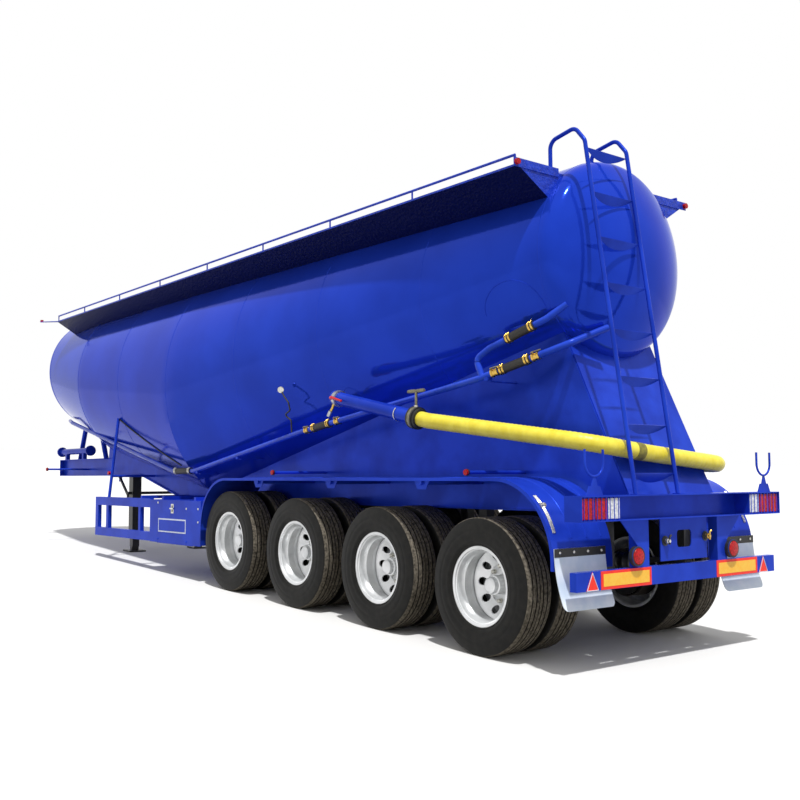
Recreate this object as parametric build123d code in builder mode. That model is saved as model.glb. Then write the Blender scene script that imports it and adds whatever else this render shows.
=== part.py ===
import os
from math import cos, hypot, radians, sin, sqrt, tan

from build123d import *

# Dry bulk tanker trailer, four axles on twin wheels, parked on its landing legs.
# Body frame while drawing: X forward, Y left, Z up, X = 0 above the rear axle.
# The body stands nose down by park_pitch, so every piece is turned about Y when it is written,
# and the origin is put on the ground under the middle of the whole trailer.

# Stance
park_pitch = 2.35
pitch_sin = sin(radians(park_pitch))
pitch_cos = cos(radians(park_pitch))
seat_gap = 0.3

# Tank shell: stations along the tank, each an upright ellipse that hangs from one top line
tank_top = 3985
tank_rear_x = -355
tank_front_x = 10350
vee_x = 5500
shoulder_x = 8600
rear_radius = 829
front_radius = 900
vee_half_width = 1200
vee_half_height = 1470
shoulder_half_width = 1100
shoulder_half_height = 1180
rear_dish_depth = 373
front_dish_depth = 380
dish_knuckle = 180

# columns: x, half width, half height
rear_stations = [
    (tank_rear_x, rear_radius, rear_radius),
    (vee_x, vee_half_width, vee_half_height),
]
front_stations = [
    (vee_x, vee_half_width, vee_half_height),
    (shoulder_x, shoulder_half_width, shoulder_half_height),
    (tank_front_x, front_radius, front_radius),
]

# Manholes on the top line
manhole_xs = [1900, 7200]
neck_radius = 270
neck_wall = 12
neck_top = tank_top + 60
lid_radius = 290
lid_thickness = 16
lid_hinge_gap = 30
lid_hinge_radius = 12

# Walkways
deck_z = 3800
deck_edge_y = 1040
deck_front_x = 9660
deck_inner_y = 300
deck_edge_depth = 15
deck_under_y = 640
deck_under_z = 3540
rail_height = 75
rail_radius = 11
rail_post_radius = 8
rail_inset = 20
rail_first_bay = 1060
rail_bay = 1270
rail_bays = 7
arm_thickness = 8
arm_depth = 70
rear_arm_root_y = 590
rear_arm_tip_y = 1092
front_arm_tip_x = 9920
front_arm_tip_y = 1235
front_arm_half = 30

# Running gear
axle_pitch = 1310
axle_count = 4
tyre_radius = 530
tyre_width = 285
tread_half_width = 112
twin_spacing = 335
outer_tyre_y = 1070
rim_half_width = 119
rim_radius = 286
rim_wall = 11
rim_flange_radius = 306
rim_flange_wall = 8
disc_wall = 12
disc_flat_radius = 172
disc_run = 76
hand_hole_count = 10
hand_hole_radius = 32
hand_hole_circle = 214
hub_radius = 85
hub_cap_radius = 72
hub_cap_length = 80
spindle_radius = 45
spindle_gap = 0.5
drum_radius = 208
drum_wall = 14
drum_inner_y = 560
drum_outer_y = 745
axle_tube_radius = 70
brake_plate_radius = 190
brake_plate_wall = 10
axle_tube_half = 520

# Side frames: one deep web on each side that carries tank, axles and coupler
web_y = 530
web_wall = 12
frame_bottom = 1090
frame_rear_x = -950
frame_rear_bottom = 1060
frame_rise_x = -760
neck_start_x = 6300
neck_end_x = 7650
coupler_z = 1400
coupler_wall = 12
platform_top = 1650
platform_front_x = 10650
platform_half_width = 600
platform_rear_x = 8800
flange_inner = 70
flange_outer = 25
flange_wall = 14
cross_radius = 50
cross_rise = 70
cross_xs = [-300, 655, 1965, 3275, 4585]

# Rear support plate, sloping from under the rear dish to the rear beam
slope_low = (-943, 1251)
slope_high = (-437, 2327)
slope_half_low = 528
slope_wall = 10

# Rear beam, posts and under-run bumper
beam_rear_x = -1109
beam_depth = 159
beam_bottom = 1053
beam_top = 1234
beam_half = 1238
beam_wall = 8
post_half_gap = 430
post_width = 130
post_depth = 80
post_gusset = 190
post_gusset_wall = 8
bumper_rear_x = -1044
bumper_depth = 60
bumper_bottom = 572
bumper_top = 705
bumper_half = beam_half - 7
centre_plate_half = 292
centre_plate_wall = 8
centre_plate_bottom = 735
centre_hole = (180, 130)
centre_hole_z = 895
centre_hole_corner = 28
plate_inner_y = 410
plate_width = 565
plate_height = 130
plate_wall = 3
triangle_side = 130

# Rear lamps
lamp_outer_y = beam_half - beam_wall - 5
lamp_inner_y = lamp_outer_y - 414
lamp_recess = 16
lamp_slats = 9
slat_depth = 8
slat_width = 6
round_lamp_radius = 72
round_lamp_depth = 36
round_lamp_y = post_half_gap + post_width + round_lamp_radius / 2
round_lamp_z = 790

# Hose cradles on the rear beam
cradle_y = beam_half - 176
cradle_half = 97
cradle_rod = 9
cradle_low_z = 1370
cradle_top_z = 1560
cradle_x = -1075
cradle_base_half = 90
cradle_step = 24

# Ladder
ladder_foot_x = -1062
ladder_lean = 0.1526
ladder_right_y = 86
ladder_left_y = 590
ladder_radius = 17
ladder_bend_z = 3997
hoop_bend = 80
tread_first_z = 1390
tread_pitch = 364
tread_count = 8
tread_bulge = 80
tread_wall = 5
hoop_top_z = 4122
hoop_mid_x = -540
hoop_front_x = -275

# Fenders
fender_z = 1363
fender_wall = 5
fender_lip = 26
fender_outer_y = 1240
fender_inner_y = 600
fender_rear_x = -240
fender_rear_radius = 600
fender_front_x = 3930
fender_front_radius = 560
fender_arm_radius = 22
fender_arm_drop = 32
fender_bracket_depth = 90
fender_bracket_half = 110
fender_bracket_wall = 6
flap_inner_y = 690
flap_outer_y = 1235
flap_top = 860
flap_bottom = 430
flap_wall = 8
flap_strip_height = 60
flap_strip_wall = 5

# Springs
spring_y = 484
spring_width = 80
spring_middle = 70
spring_end = 24
spring_seat = 6
hanger_length = 100
hanger_width = 90
spring_eye_rise = 150

# Landing legs
leg_x = 7900
leg_y = 500
leg_side = 130
leg_inner_side = 100
leg_sleeve_bottom = 620
foot_side = 240
foot_wall = 22
foot_hub_radius = 40
leg_brace_x = 8500
leg_brace_z = 900
leg_brace_radius = 20
leg_shaft_radius = 20
leg_shaft_z = 1150
leg_crank_length = 130

# Side guards and tool boxes
guard_y = 1200
guard_tube = 50
guard_rail = 110
guard_top = 1115
guard_bottom = 600
guard_front_x = 7600
# columns: x of the middle, width
guard_upright_rows = [(7555, 90), (7200, 70), (6180, 60)]
guard_hanger_x = 7200
guard_arm_xs = [4760, 5600]
guard_arm_z = 1130
box_rear_x = 4540
box_front_x = 5870
box_depth = 400
box_wall = 5
box_top = 1105
box_bottom = 605
door_wall = 6
door_gap = 6
door_hinge_radius = 8
guard_arm_x = 6180
guard_arm_height = 40
stay_radius = 20
stay_top_x = 7180
stay_top_z = 2165
guard_arm_rise_z = 1392

# Marker lamps
marker_radius = 24
marker_depth = 26
marker_rod = 14
marker_y = guard_y
# columns: x, z of the lamps whose rods start at the side frame
marker_rows = [(9570, 1501), (3020, 1418), (114, 1405)]
stay_marker_z = 1432

# Kingpin, two inch size
kingpin_x = 9600
kingpin_radius = 25.4
kingpin_length = 84
kingpin_boss_radius = 60
kingpin_boss_height = 10

# Front manifold and struts
strut_radius = 38
strut_y = 350
# columns: x at the platform, x at the belly
strut_rows = [
    (10450, 10050),
    (9300, 9750),
]
strut_reach_z = 2500
manifold_radius = 48
manifold_y = 540
manifold_z = 1790
manifold_front_x = 10720
manifold_rear_x = 9500
manifold_flange = 80
manifold_foot = 30

# Air pipe along the left side
pipe_radius = 28
sleeve_radius = 38
pipe_bend = 120
# columns: x, inset from the tank's widest line, z
pipe_rows = [
    (10330, 342, 2290),
    (9700, 214, 2225),
    (5750, 242, 1450),
    (5180, 230, 1450),
    (2890, 105, 1830),
    (300, -10, 2172),
]
pipe_corner = (-470, 640, 2400)
pipe_end = (-590, 300, 2545)
branch_route = [
    (330, 870, 2340),
    (200, 840, 2420),
    (-330, 725, 2610),
]
branch_end = (-470, 640, 2720)
# columns: run of the pipe route, start share, end share
sleeve_rows = [
    (2, 0.10, 0.85),
    (4, 0.08, 0.20),
    (5, 0.25, 0.60),
]
bracket_wall = 8
# columns: run of the pipe route, share along it
bracket_rows = [(3, 0.04), (3, 0.45), (4, 0.5), (5, 0.12)]

# Discharge pipe and hose
outlet_y = 1075
outlet_radius = 62
outlet_front = (2010, 2110)
outlet_rear = (900, 1880)
cap_radius = 72
cap_length = 60
lever_length = 120
valve_radius = 95
valve_length = 70
valve_stem_height = 230
valve_bar_half = 110
hose_radius = 66
hose_lead = 120
hose_route = [
    (-905, 880, 1612),
    (-915, 250, 1545),
    (-925, -800, 1455),
    (1000, -800, 1530),
]
hose_bend = 240
coupling_radius = 80
coupling_length = 110

# Air reservoirs
reservoir_radius = 130
reservoir_half = 400
reservoir_z = 880
reservoir_xs = [4250, 5150]
strap_width = 40


def station_at(x):
    """Half width and half height of the tank at x, straight lines between the stations."""
    stations = rear_stations + front_stations[1:]
    for (x0, w0, h0), (x1, w1, h1) in zip(stations, stations[1:]):
        if x <= x1:
            break
    share = (x - x0) / (x1 - x0)
    return w0 + share * (w1 - w0), h0 + share * (h1 - h0)


def shell_y(x, z):
    """Half width of the shell at x and height z."""
    half_width, half_height = station_at(x)
    return half_width * sqrt(1 - ((z - tank_top + half_height) / half_height) ** 2)


def shell(stations, grow=0.0):
    """Ruled loft through upright ellipses, each grown by grow all round."""
    with BuildPart() as body:
        for x, half_width, half_height in stations:
            centre = (x, 0, tank_top - half_height)
            with BuildSketch(Plane(origin=centre, x_dir=(0, 1, 0), z_dir=(1, 0, 0))):
                Ellipse(half_width + grow, half_height + grow)
        loft(ruled=True)
    return body.part


def dished_end(x, radius, depth, direction, grow=0.0):
    """Crown arc and knuckle arc turned about the tank's axis at x, bulging along direction."""
    outer = radius + grow
    bulge = depth + grow
    crown = (bulge**2 + (outer - dish_knuckle) ** 2 - dish_knuckle**2) / (2 * (bulge - dish_knuckle))
    reach = hypot(crown - bulge, outer - dish_knuckle)
    touch_x = bulge - crown + crown * (crown - bulge) / reach
    touch_r = crown * (outer - dish_knuckle) / reach
    half = sqrt(0.5)
    crown_mid = hypot(touch_x - (bulge - crown) + crown, touch_r)
    mid_x = bulge - crown + crown * (touch_x - (bulge - crown) + crown) / crown_mid
    mid_r = crown * touch_r / crown_mid
    knuckle_x = touch_x / dish_knuckle
    knuckle_r = (touch_r - (outer - dish_knuckle)) / dish_knuckle
    blend = hypot(knuckle_x, knuckle_r + 1)
    axis_z = tank_top - radius
    frame = Plane(origin=(x, 0, axis_z), x_dir=(direction, 0, 0), z_dir=(0, -direction, 0))
    with BuildPart() as body:
        with BuildSketch(frame):
            with BuildLine():
                Line((0, 0), (bulge, 0))
                ThreePointArc((bulge, 0), (mid_x, mid_r), (touch_x, touch_r))
                knuckle_mid = (
                    dish_knuckle * knuckle_x / blend,
                    outer - dish_knuckle + dish_knuckle * (knuckle_r + 1) / blend,
                )
                ThreePointArc((touch_x, touch_r), knuckle_mid, (0, outer))
                Line((0, outer), (0, 0))
            make_face()
        revolve(axis=Axis((x, 0, axis_z), (1, 0, 0)))
    return body.part


def tank_cutter():
    """The whole tank grown by the seat gap, to cut what is welded against it."""
    grown = shell(rear_stations, seat_gap) + shell(front_stations, seat_gap)
    grown = grown + dished_end(tank_rear_x, rear_radius, rear_dish_depth, -1, seat_gap)
    return grown + dished_end(tank_front_x, front_radius, front_dish_depth, 1, seat_gap)


def block(x0, x1, y0, y1, z0, z1, mode=Mode.ADD):
    """Add a box between two corners to the part being built."""
    with Locations(((x0 + x1) / 2, (y0 + y1) / 2, (z0 + z1) / 2)):
        Box(abs(x1 - x0), abs(y1 - y0), abs(z1 - z0), mode=mode)


def rod(start, end, radius, bore=0.0, mode=Mode.ADD):
    """Add a round bar from start to end, or a tube if it has a bore radius."""
    run = Vector(*end) - Vector(*start)
    with BuildSketch(Plane(origin=start, z_dir=run.normalized())) as section:
        Circle(radius)
        if bore:
            Circle(bore, mode=Mode.SUBTRACT)
    extrude(section.sketch, amount=run.length, mode=mode)


def side_plate(points, y_outer, wall):
    """Add an upright plate with the given x, z outline, from y_outer inwards by wall."""
    with BuildSketch(Plane(origin=(0, y_outer, 0), x_dir=(1, 0, 0), z_dir=(0, -1, 0))) as outline:
        with BuildLine():
            Polyline(*points, close=True)
        make_face()
    extrude(outline.sketch, amount=wall)


def cross_plate(points, x_front, wall):
    """Add a plate across the trailer with the given y, z outline, from x_front rearwards."""
    with BuildSketch(Plane(origin=(x_front, 0, 0), x_dir=(0, -1, 0), z_dir=(-1, 0, 0))) as outline:
        with BuildLine():
            Polyline(*[(-y, z) for y, z in points], close=True)
        make_face()
    extrude(outline.sketch, amount=wall)


def flat_plate(points, z_low, wall):
    """Add a level plate with the given x, y outline, from z_low upwards."""
    with BuildSketch(Plane.XY.offset(z_low)) as outline:
        with BuildLine():
            Polyline(*points, close=True)
        make_face()
    extrude(outline.sketch, amount=wall)


def bent_bar(points, bend, radius):
    """Add a round bar along straight runs joined by tangent arcs of radius bend."""
    with BuildLine() as route:
        FilletPolyline(*points, radius=bend)
    start = Vector(*points[0])
    run = Vector(*points[1]) - start
    with BuildSketch(Plane(origin=start, z_dir=run.normalized())) as section:
        Circle(radius)
    sweep(section.sketch, path=route.line)


def slope_x(z):
    """The x of the sloping plate's rear face at height z."""
    share = (z - slope_low[1]) / (slope_high[1] - slope_low[1])
    return slope_low[0] + share * (slope_high[0] - slope_low[0])


def ladder_x(z):
    """The x of the ladder's line at height z."""
    return ladder_foot_x + ladder_lean * (z - beam_top)


pipe_route = [(x, station_at(x)[0] - inset, z) for x, inset, z in pipe_rows] + [pipe_corner]


def on_run(index, share):
    """A point on a run of the air pipe's route."""
    start = Vector(*pipe_route[index])
    return start + (Vector(*pipe_route[index + 1]) - start) * share


# Axle centres in the body frame: level on the ground once the body is pitched
axle_places = []
for index in range(axle_count):
    along = index * axle_pitch
    place = (along * pitch_cos - tyre_radius * pitch_sin, along * pitch_sin + tyre_radius * pitch_cos)
    axle_places.append(place)

pieces = {}
cutter = tank_cutter()

# Tank shell, front and rear section meeting at the vee
with BuildPart() as tank_rear_section:
    add(shell(rear_stations))
pieces["tank_rear_section"] = tank_rear_section

with BuildPart() as tank_front_section:
    add(shell(front_stations))
pieces["tank_front_section"] = tank_front_section

# Dished ends
with BuildPart() as dished_ends:
    add(dished_end(tank_rear_x, rear_radius, rear_dish_depth, -1))
    add(dished_end(tank_front_x, front_radius, front_dish_depth, 1))
pieces["dished_ends"] = dished_ends

# Manhole necks, each with a hinge lug on its right side
hinge_y = -(lid_radius + lid_hinge_gap)
hinge_z = neck_top + lid_thickness / 2
with BuildPart() as manhole_necks:
    for x in manhole_xs:
        rod((x, 0, tank_top - neck_radius / 4), (x, 0, neck_top), neck_radius, neck_radius - neck_wall)
        for side in (-1, 1):
            lug_x = x + side * 50
            block(lug_x - 8, lug_x + 8, hinge_y - 16, -neck_radius + 6, tank_top - 80, neck_top - 6)
            block(lug_x - 8, lug_x + 8, hinge_y - 16, hinge_y + 20, neck_top - 6, hinge_z + 16)
            with Locations(Plane(origin=(lug_x, hinge_y, hinge_z), z_dir=(1, 0, 0))):
                Cylinder(lid_hinge_radius + seat_gap, 40, mode=Mode.SUBTRACT)
    add(cutter, mode=Mode.SUBTRACT)
pieces["manhole_necks"] = manhole_necks

# Manhole lids: dished cover, hinge arm and pin, hand clamp ring
lid_builders = []
for number, x in enumerate(manhole_xs, 1):
    with BuildPart() as manhole_lid:
        rod((x, 0, neck_top + seat_gap), (x, 0, neck_top + lid_thickness), lid_radius)
        rod((x, 0, neck_top + lid_thickness), (x, 0, neck_top + 2 * lid_thickness), lid_radius * 0.62)
        block(x - 34, x + 34, hinge_y, -lid_radius + 20, neck_top + seat_gap, neck_top + lid_thickness)
        rod((x - 58, hinge_y, hinge_z), (x + 58, hinge_y, hinge_z), lid_hinge_radius)
    pieces[f"manhole_lid_{number}"] = manhole_lid

# Walkways: deck, closed wedge down to the shell, rail, lamp arms
rail_z = deck_z + rail_height
rail_y = deck_edge_y - rail_radius
rail_xs = [deck_front_x - rail_inset]
rail_xs.append(rail_xs[0] - rail_first_bay)
for bay in range(rail_bays):
    rail_xs.append(rail_xs[-1] - rail_bay)
walkway_outline = [
    (deck_edge_y, deck_z),
    (deck_inner_y, deck_z),
    (deck_inner_y, deck_under_z),
    (deck_under_y, deck_under_z),
    (deck_edge_y, deck_z - deck_edge_depth),
]
for side_name, side in (("left", 1), ("right", -1)):
    with BuildPart() as walkway:
        cross_plate([(side * y, z) for y, z in walkway_outline], deck_front_x, deck_front_x - tank_rear_x)
        add(cutter, mode=Mode.SUBTRACT)
        for x in rail_xs:
            rod((x, side * rail_y, deck_z), (x, side * rail_y, rail_z), rail_post_radius)
        rod((rail_xs[0], side * rail_y, rail_z), (rail_xs[-1], side * rail_y, rail_z), rail_radius)
        block(tank_rear_x - arm_thickness, tank_rear_x, side * rear_arm_root_y, side * rear_arm_tip_y,
              deck_z - arm_depth / 2, deck_z + arm_depth / 2)
        front_arm = [
            (deck_front_x, side * (deck_edge_y - front_arm_half * 4)),
            (deck_front_x, side * deck_edge_y),
            (front_arm_tip_x - front_arm_half, side * front_arm_tip_y),
            (front_arm_tip_x, side * (front_arm_tip_y - front_arm_half)),
        ]
        flat_plate(front_arm, deck_z - arm_thickness, arm_thickness)
    pieces[f"walkway_{side_name}"] = walkway

# Ladder with hoops
with BuildPart() as ladder:
    hoop_bend_x = ladder_x(ladder_bend_z)
    for y in (ladder_right_y, ladder_left_y):
        width, height = station_at(hoop_front_x + ladder_radius)
        shell_z = tank_top - height + height * sqrt(1 - ((y - ladder_radius) / width) ** 2)
        landing = max(deck_z, shell_z + seat_gap)
        foot_x = ladder_x(beam_top)
        block(foot_x - 32, foot_x + 32, y - 26, y + 26, beam_top, beam_top + 6)
        stringer = [
            (ladder_x(beam_top + 3), y, beam_top + 3),
            (hoop_bend_x, y, ladder_bend_z),
            (hoop_mid_x, y, hoop_top_z),
            (hoop_front_x, y, hoop_top_z - 45),
            (hoop_front_x, y, landing),
        ]
        bent_bar(stringer, hoop_bend, ladder_radius)
    for step in range(tread_count):
        z = tread_first_z + step * tread_pitch
        centre = (ladder_x(z), (ladder_left_y + ladder_right_y) / 2, z)
        chord = (ladder_left_y - ladder_right_y) / 2 - ladder_radius / 2
        with BuildSketch(Plane(origin=centre, x_dir=(0, 1, 0), z_dir=(0.866, 0, 0.5))) as tread:
            with BuildLine():
                ThreePointArc((-chord, 0), (0, -tread_bulge), (chord, 0))
                Line((chord, 0), (-chord, 0))
            make_face()
        extrude(tread.sketch, amount=tread_wall)
pieces["ladder"] = ladder

# Sloping plate under the rear dish
slope_run = Vector(slope_high[0] - slope_low[0], 0, slope_high[1] - slope_low[1])
with BuildPart() as rear_support_plate:
    plate_low_z = beam_top
    plate_high_z = tank_top - rear_radius
    outline = [
        (slope_x(plate_low_z), plate_low_z),
        (slope_x(plate_high_z), plate_high_z),
        (slope_x(plate_high_z) + slope_wall, plate_high_z),
        (slope_x(plate_low_z) + slope_wall, plate_low_z),
    ]
    side_plate(outline, slope_half_low, 2 * slope_half_low)
    add(cutter, mode=Mode.SUBTRACT)
    keep = rear_support_plate.part.solids().sort_by(Axis.Z)[0]
with BuildPart() as rear_support_plate:
    add(keep)
pieces["rear_support_plate"] = rear_support_plate

# Side frames
web_outer = web_y + web_wall / 2
web_inner = web_y - web_wall / 2
platform_web_bottom = coupler_z + coupler_wall
with BuildPart() as side_frames:
    outline = [
        (frame_rear_x, frame_rear_bottom),
        (frame_rise_x, frame_bottom),
        (neck_start_x, frame_bottom),
        (neck_end_x, platform_web_bottom),
        (platform_front_x - coupler_wall, platform_web_bottom),
        (platform_front_x - coupler_wall, platform_top),
        (platform_rear_x - 10, platform_top),
        (shoulder_x, tank_top - shoulder_half_height),
        (slope_x(tank_top - rear_radius) + slope_wall, tank_top - rear_radius),
        (slope_x(beam_top) + slope_wall, beam_top),
        (frame_rear_x, beam_top),
    ]
    side_plate(outline, web_outer, web_wall)
    add(cutter, mode=Mode.SUBTRACT)
    for y_outer, flange in ((web_outer + flange_outer, flange_outer), (web_inner, flange_inner)):
        strip = [
            (frame_rise_x, frame_bottom),
            (neck_start_x, frame_bottom),
            (neck_end_x, platform_web_bottom),
            (neck_end_x, platform_web_bottom + flange_wall),
            (neck_start_x, frame_bottom + flange_wall),
            (frame_rise_x, frame_bottom + flange_wall),
        ]
        side_plate(strip, y_outer, flange)
    largest = side_frames.part.solids().sort_by(SortBy.VOLUME)[-1]
with BuildPart() as side_frames:
    add(largest)
    mirror(about=Plane.XZ)
pieces["side_frames"] = side_frames

# Cross members between the side frames
with BuildPart() as cross_members:
    for x in cross_xs:
        z = frame_bottom + cross_rise
        rod((x, -web_inner, z), (x, web_inner, z), cross_radius)
pieces["cross_members"] = cross_members

# Coupler platform with the kingpin
with BuildPart() as coupler_platform:
    block(neck_end_x + 50, platform_front_x, -platform_half_width, platform_half_width,
          coupler_z, coupler_z + coupler_wall)
    block(platform_rear_x, platform_front_x, -platform_half_width, platform_half_width,
          platform_top, platform_top + coupler_wall)
    block(platform_front_x - coupler_wall, platform_front_x, -platform_half_width, platform_half_width,
          coupler_z, platform_top + coupler_wall)
    boss_z = coupler_z - kingpin_boss_height
    rod((kingpin_x, 0, coupler_z), (kingpin_x, 0, boss_z), kingpin_boss_radius)
    rod((kingpin_x, 0, boss_z), (kingpin_x, 0, boss_z - kingpin_length), kingpin_radius)
pieces["coupler_platform"] = coupler_platform

# Struts from the platform to the belly
with BuildPart() as front_struts:
    for foot_x, belly_x in strut_rows:
        for side in (-1, 1):
            y = side * strut_y
            rod((foot_x, y, platform_top - 60), (belly_x, y, strut_reach_z), strut_radius)
    block(platform_rear_x, platform_front_x, -platform_half_width, platform_half_width,
          platform_top - 200, platform_top + coupler_wall, mode=Mode.SUBTRACT)
    add(cutter, mode=Mode.SUBTRACT)
    strut_solids = front_struts.part.solids().sort_by(Axis.Z)[:4]
with BuildPart() as front_struts:
    for solid in strut_solids:
        add(solid)
pieces["front_struts"] = front_struts

# Front manifold: air inlet pipe with flange on two feet
with BuildPart() as front_manifold:
    rod((manifold_rear_x, manifold_y, manifold_z), (manifold_front_x, manifold_y, manifold_z),
        manifold_radius)
    rod((manifold_front_x - 20, manifold_y, manifold_z), (manifold_front_x + 14, manifold_y, manifold_z),
        manifold_flange)
    rod((manifold_rear_x - 14, manifold_y, manifold_z), (manifold_rear_x + 20, manifold_y, manifold_z),
        manifold_flange)
    for x in (manifold_rear_x + 250, manifold_front_x - 250):
        block(x - manifold_foot, x + manifold_foot, manifold_y - manifold_foot, manifold_y + manifold_foot,
              platform_top + coupler_wall, manifold_z)
pieces["front_manifold"] = front_manifold

# Rear beam: channel open to the rear, with end plates, posts and centre plate
beam_front_x = beam_rear_x + beam_depth
with BuildPart() as rear_beam:
    block(beam_rear_x, beam_front_x, -beam_half, beam_half, beam_bottom, beam_top)
    block(beam_rear_x, beam_front_x - beam_wall, -beam_half + beam_wall, beam_half - beam_wall,
          beam_bottom + beam_wall, beam_top - beam_wall, mode=Mode.SUBTRACT)
    post_outer_y = post_half_gap + post_width
    for side in (-1, 1):
        block(bumper_rear_x, bumper_rear_x + post_depth, side * post_half_gap, side * post_outer_y,
              bumper_top, beam_bottom)
        gusset = [
            (side * post_outer_y, beam_bottom),
            (side * (post_outer_y + post_gusset), beam_bottom),
            (side * post_outer_y, beam_bottom - post_gusset),
        ]
        cross_plate(gusset, bumper_rear_x + post_gusset_wall, post_gusset_wall)
    block(bumper_rear_x, bumper_rear_x + centre_plate_wall, -centre_plate_half, centre_plate_half,
          centre_plate_bottom, beam_bottom)
    hole_plane = Plane(origin=(bumper_rear_x - 1, 0, centre_hole_z), x_dir=(0, 1, 0), z_dir=(1, 0, 0))
    with BuildSketch(hole_plane) as window:
        RectangleRounded(centre_hole[0], centre_hole[1], centre_hole_corner)
    extrude(window.sketch, amount=centre_plate_wall + 2, mode=Mode.SUBTRACT)
pieces["rear_beam"] = rear_beam

# Under-run bumper
with BuildPart() as rear_bumper:
    block(bumper_rear_x, bumper_rear_x + bumper_depth, -bumper_half, bumper_half, bumper_bottom, bumper_top)
pieces["rear_bumper"] = rear_bumper

# Reflector plates and triangles on the bumper
with BuildPart() as reflector_plates:
    plate_z = (bumper_bottom + bumper_top) / 2
    for side in (-1, 1):
        y0 = side * plate_inner_y
        y1 = side * (plate_inner_y + plate_width)
        block(bumper_rear_x - plate_wall, bumper_rear_x, y0, y1,
              plate_z - plate_height / 2, plate_z + plate_height / 2)
        centre = side * (plate_inner_y + plate_width + 90)
        triangle = [
            (centre - triangle_side / 2, plate_z - plate_height / 2),
            (centre + triangle_side / 2, plate_z - plate_height / 2),
            (centre, plate_z + plate_height / 2),
        ]
        cross_plate(triangle, bumper_rear_x, plate_wall)
pieces["reflector_plates"] = reflector_plates

# Rear lamp clusters inside the beam's channel, with upright guard slats
with BuildPart() as rear_lamps:
    lamp_z0 = beam_bottom + beam_wall
    lamp_z1 = beam_top - beam_wall
    lamp_front_x = beam_front_x - beam_wall
    for side in (-1, 1):
        block(beam_rear_x + lamp_recess, lamp_front_x, side * lamp_inner_y, side * lamp_outer_y,
              lamp_z0, lamp_z1)
        pitch = (lamp_outer_y - lamp_inner_y) / lamp_slats
        for slat in range(lamp_slats):
            y = side * (lamp_inner_y + (slat + 0.5) * pitch)
            block(beam_rear_x + lamp_recess - slat_depth, beam_rear_x + lamp_recess, y - slat_width / 2,
                  y + slat_width / 2, lamp_z0, lamp_z1)
        y = side * round_lamp_y
        rod((bumper_rear_x, y, round_lamp_z), (bumper_rear_x - round_lamp_depth, y, round_lamp_z),
            round_lamp_radius)
pieces["rear_lamps"] = rear_lamps

# Hose cradles: a bent rod in a U on a small triangular foot
with BuildPart() as hose_cradles:
    for side in (-1, 1):
        y = side * cradle_y
        turn_z = cradle_low_z + cradle_half
        with BuildLine() as cradle_line:
            Line((cradle_x, y - cradle_half, cradle_top_z), (cradle_x, y - cradle_half, turn_z))
            ThreePointArc((cradle_x, y - cradle_half, turn_z), (cradle_x, y, cradle_low_z),
                          (cradle_x, y + cradle_half, turn_z))
            Line((cradle_x, y + cradle_half, turn_z), (cradle_x, y + cradle_half, cradle_top_z))
        with BuildSketch(Plane(origin=(cradle_x, y - cradle_half, cradle_top_z), z_dir=(0, 0, -1))) as wire:
            Circle(cradle_rod)
        sweep(wire.sketch, path=cradle_line.line)
        middle_z = (beam_top + cradle_low_z) / 2
        foot = [
            (y - cradle_base_half, beam_top),
            (y + cradle_base_half, beam_top),
            (y + cradle_base_half / 2 + cradle_step / 2, middle_z),
            (y + cradle_base_half / 2 - cradle_step / 2, middle_z),
            (y + cradle_rod, cradle_low_z),
            (y - cradle_rod, cradle_low_z),
            (y - cradle_base_half / 2 + cradle_step / 2, middle_z),
            (y - cradle_base_half / 2 - cradle_step / 2, middle_z),
        ]
        cross_plate(foot, cradle_x + 4, 8)
pieces["hose_cradles"] = hose_cradles


def fender_strip(thickness, drop=0.0):
    """Outline between the fender's outer line and the same line moved in by thickness."""
    rear_end = fender_z - fender_rear_radius - drop
    front_end = fender_z - fender_front_radius
    half = sqrt(0.5)
    rear_x = fender_rear_x
    front_x = fender_front_x
    rear_in = fender_rear_radius - thickness
    front_in = fender_front_radius - thickness
    rear_axis = fender_z - fender_rear_radius
    with BuildLine() as outline:
        Line((rear_x - fender_rear_radius, rear_end), (rear_x - fender_rear_radius, rear_axis))
        ThreePointArc(
            (rear_x - fender_rear_radius, rear_axis),
            (rear_x - fender_rear_radius * half, rear_axis + fender_rear_radius * half),
            (rear_x, fender_z),
        )
        Line((rear_x, fender_z), (front_x, fender_z))
        ThreePointArc(
            (front_x, fender_z),
            (front_x + fender_front_radius * half, front_end + fender_front_radius * half),
            (front_x + fender_front_radius, front_end),
        )
        Line((front_x + fender_front_radius, front_end), (front_x + front_in, front_end))
        ThreePointArc(
            (front_x + front_in, front_end),
            (front_x + front_in * half, front_end + front_in * half),
            (front_x, fender_z - thickness),
        )
        Line((front_x, fender_z - thickness), (rear_x, fender_z - thickness))
        ThreePointArc(
            (rear_x, fender_z - thickness),
            (rear_x - rear_in * half, rear_axis + rear_in * half),
            (rear_x - rear_in, rear_axis),
        )
        Line((rear_x - rear_in, rear_axis), (rear_x - rear_in, rear_end))
        Line((rear_x - rear_in, rear_end), (rear_x - fender_rear_radius, rear_end))
    make_face(outline.edges())


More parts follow.
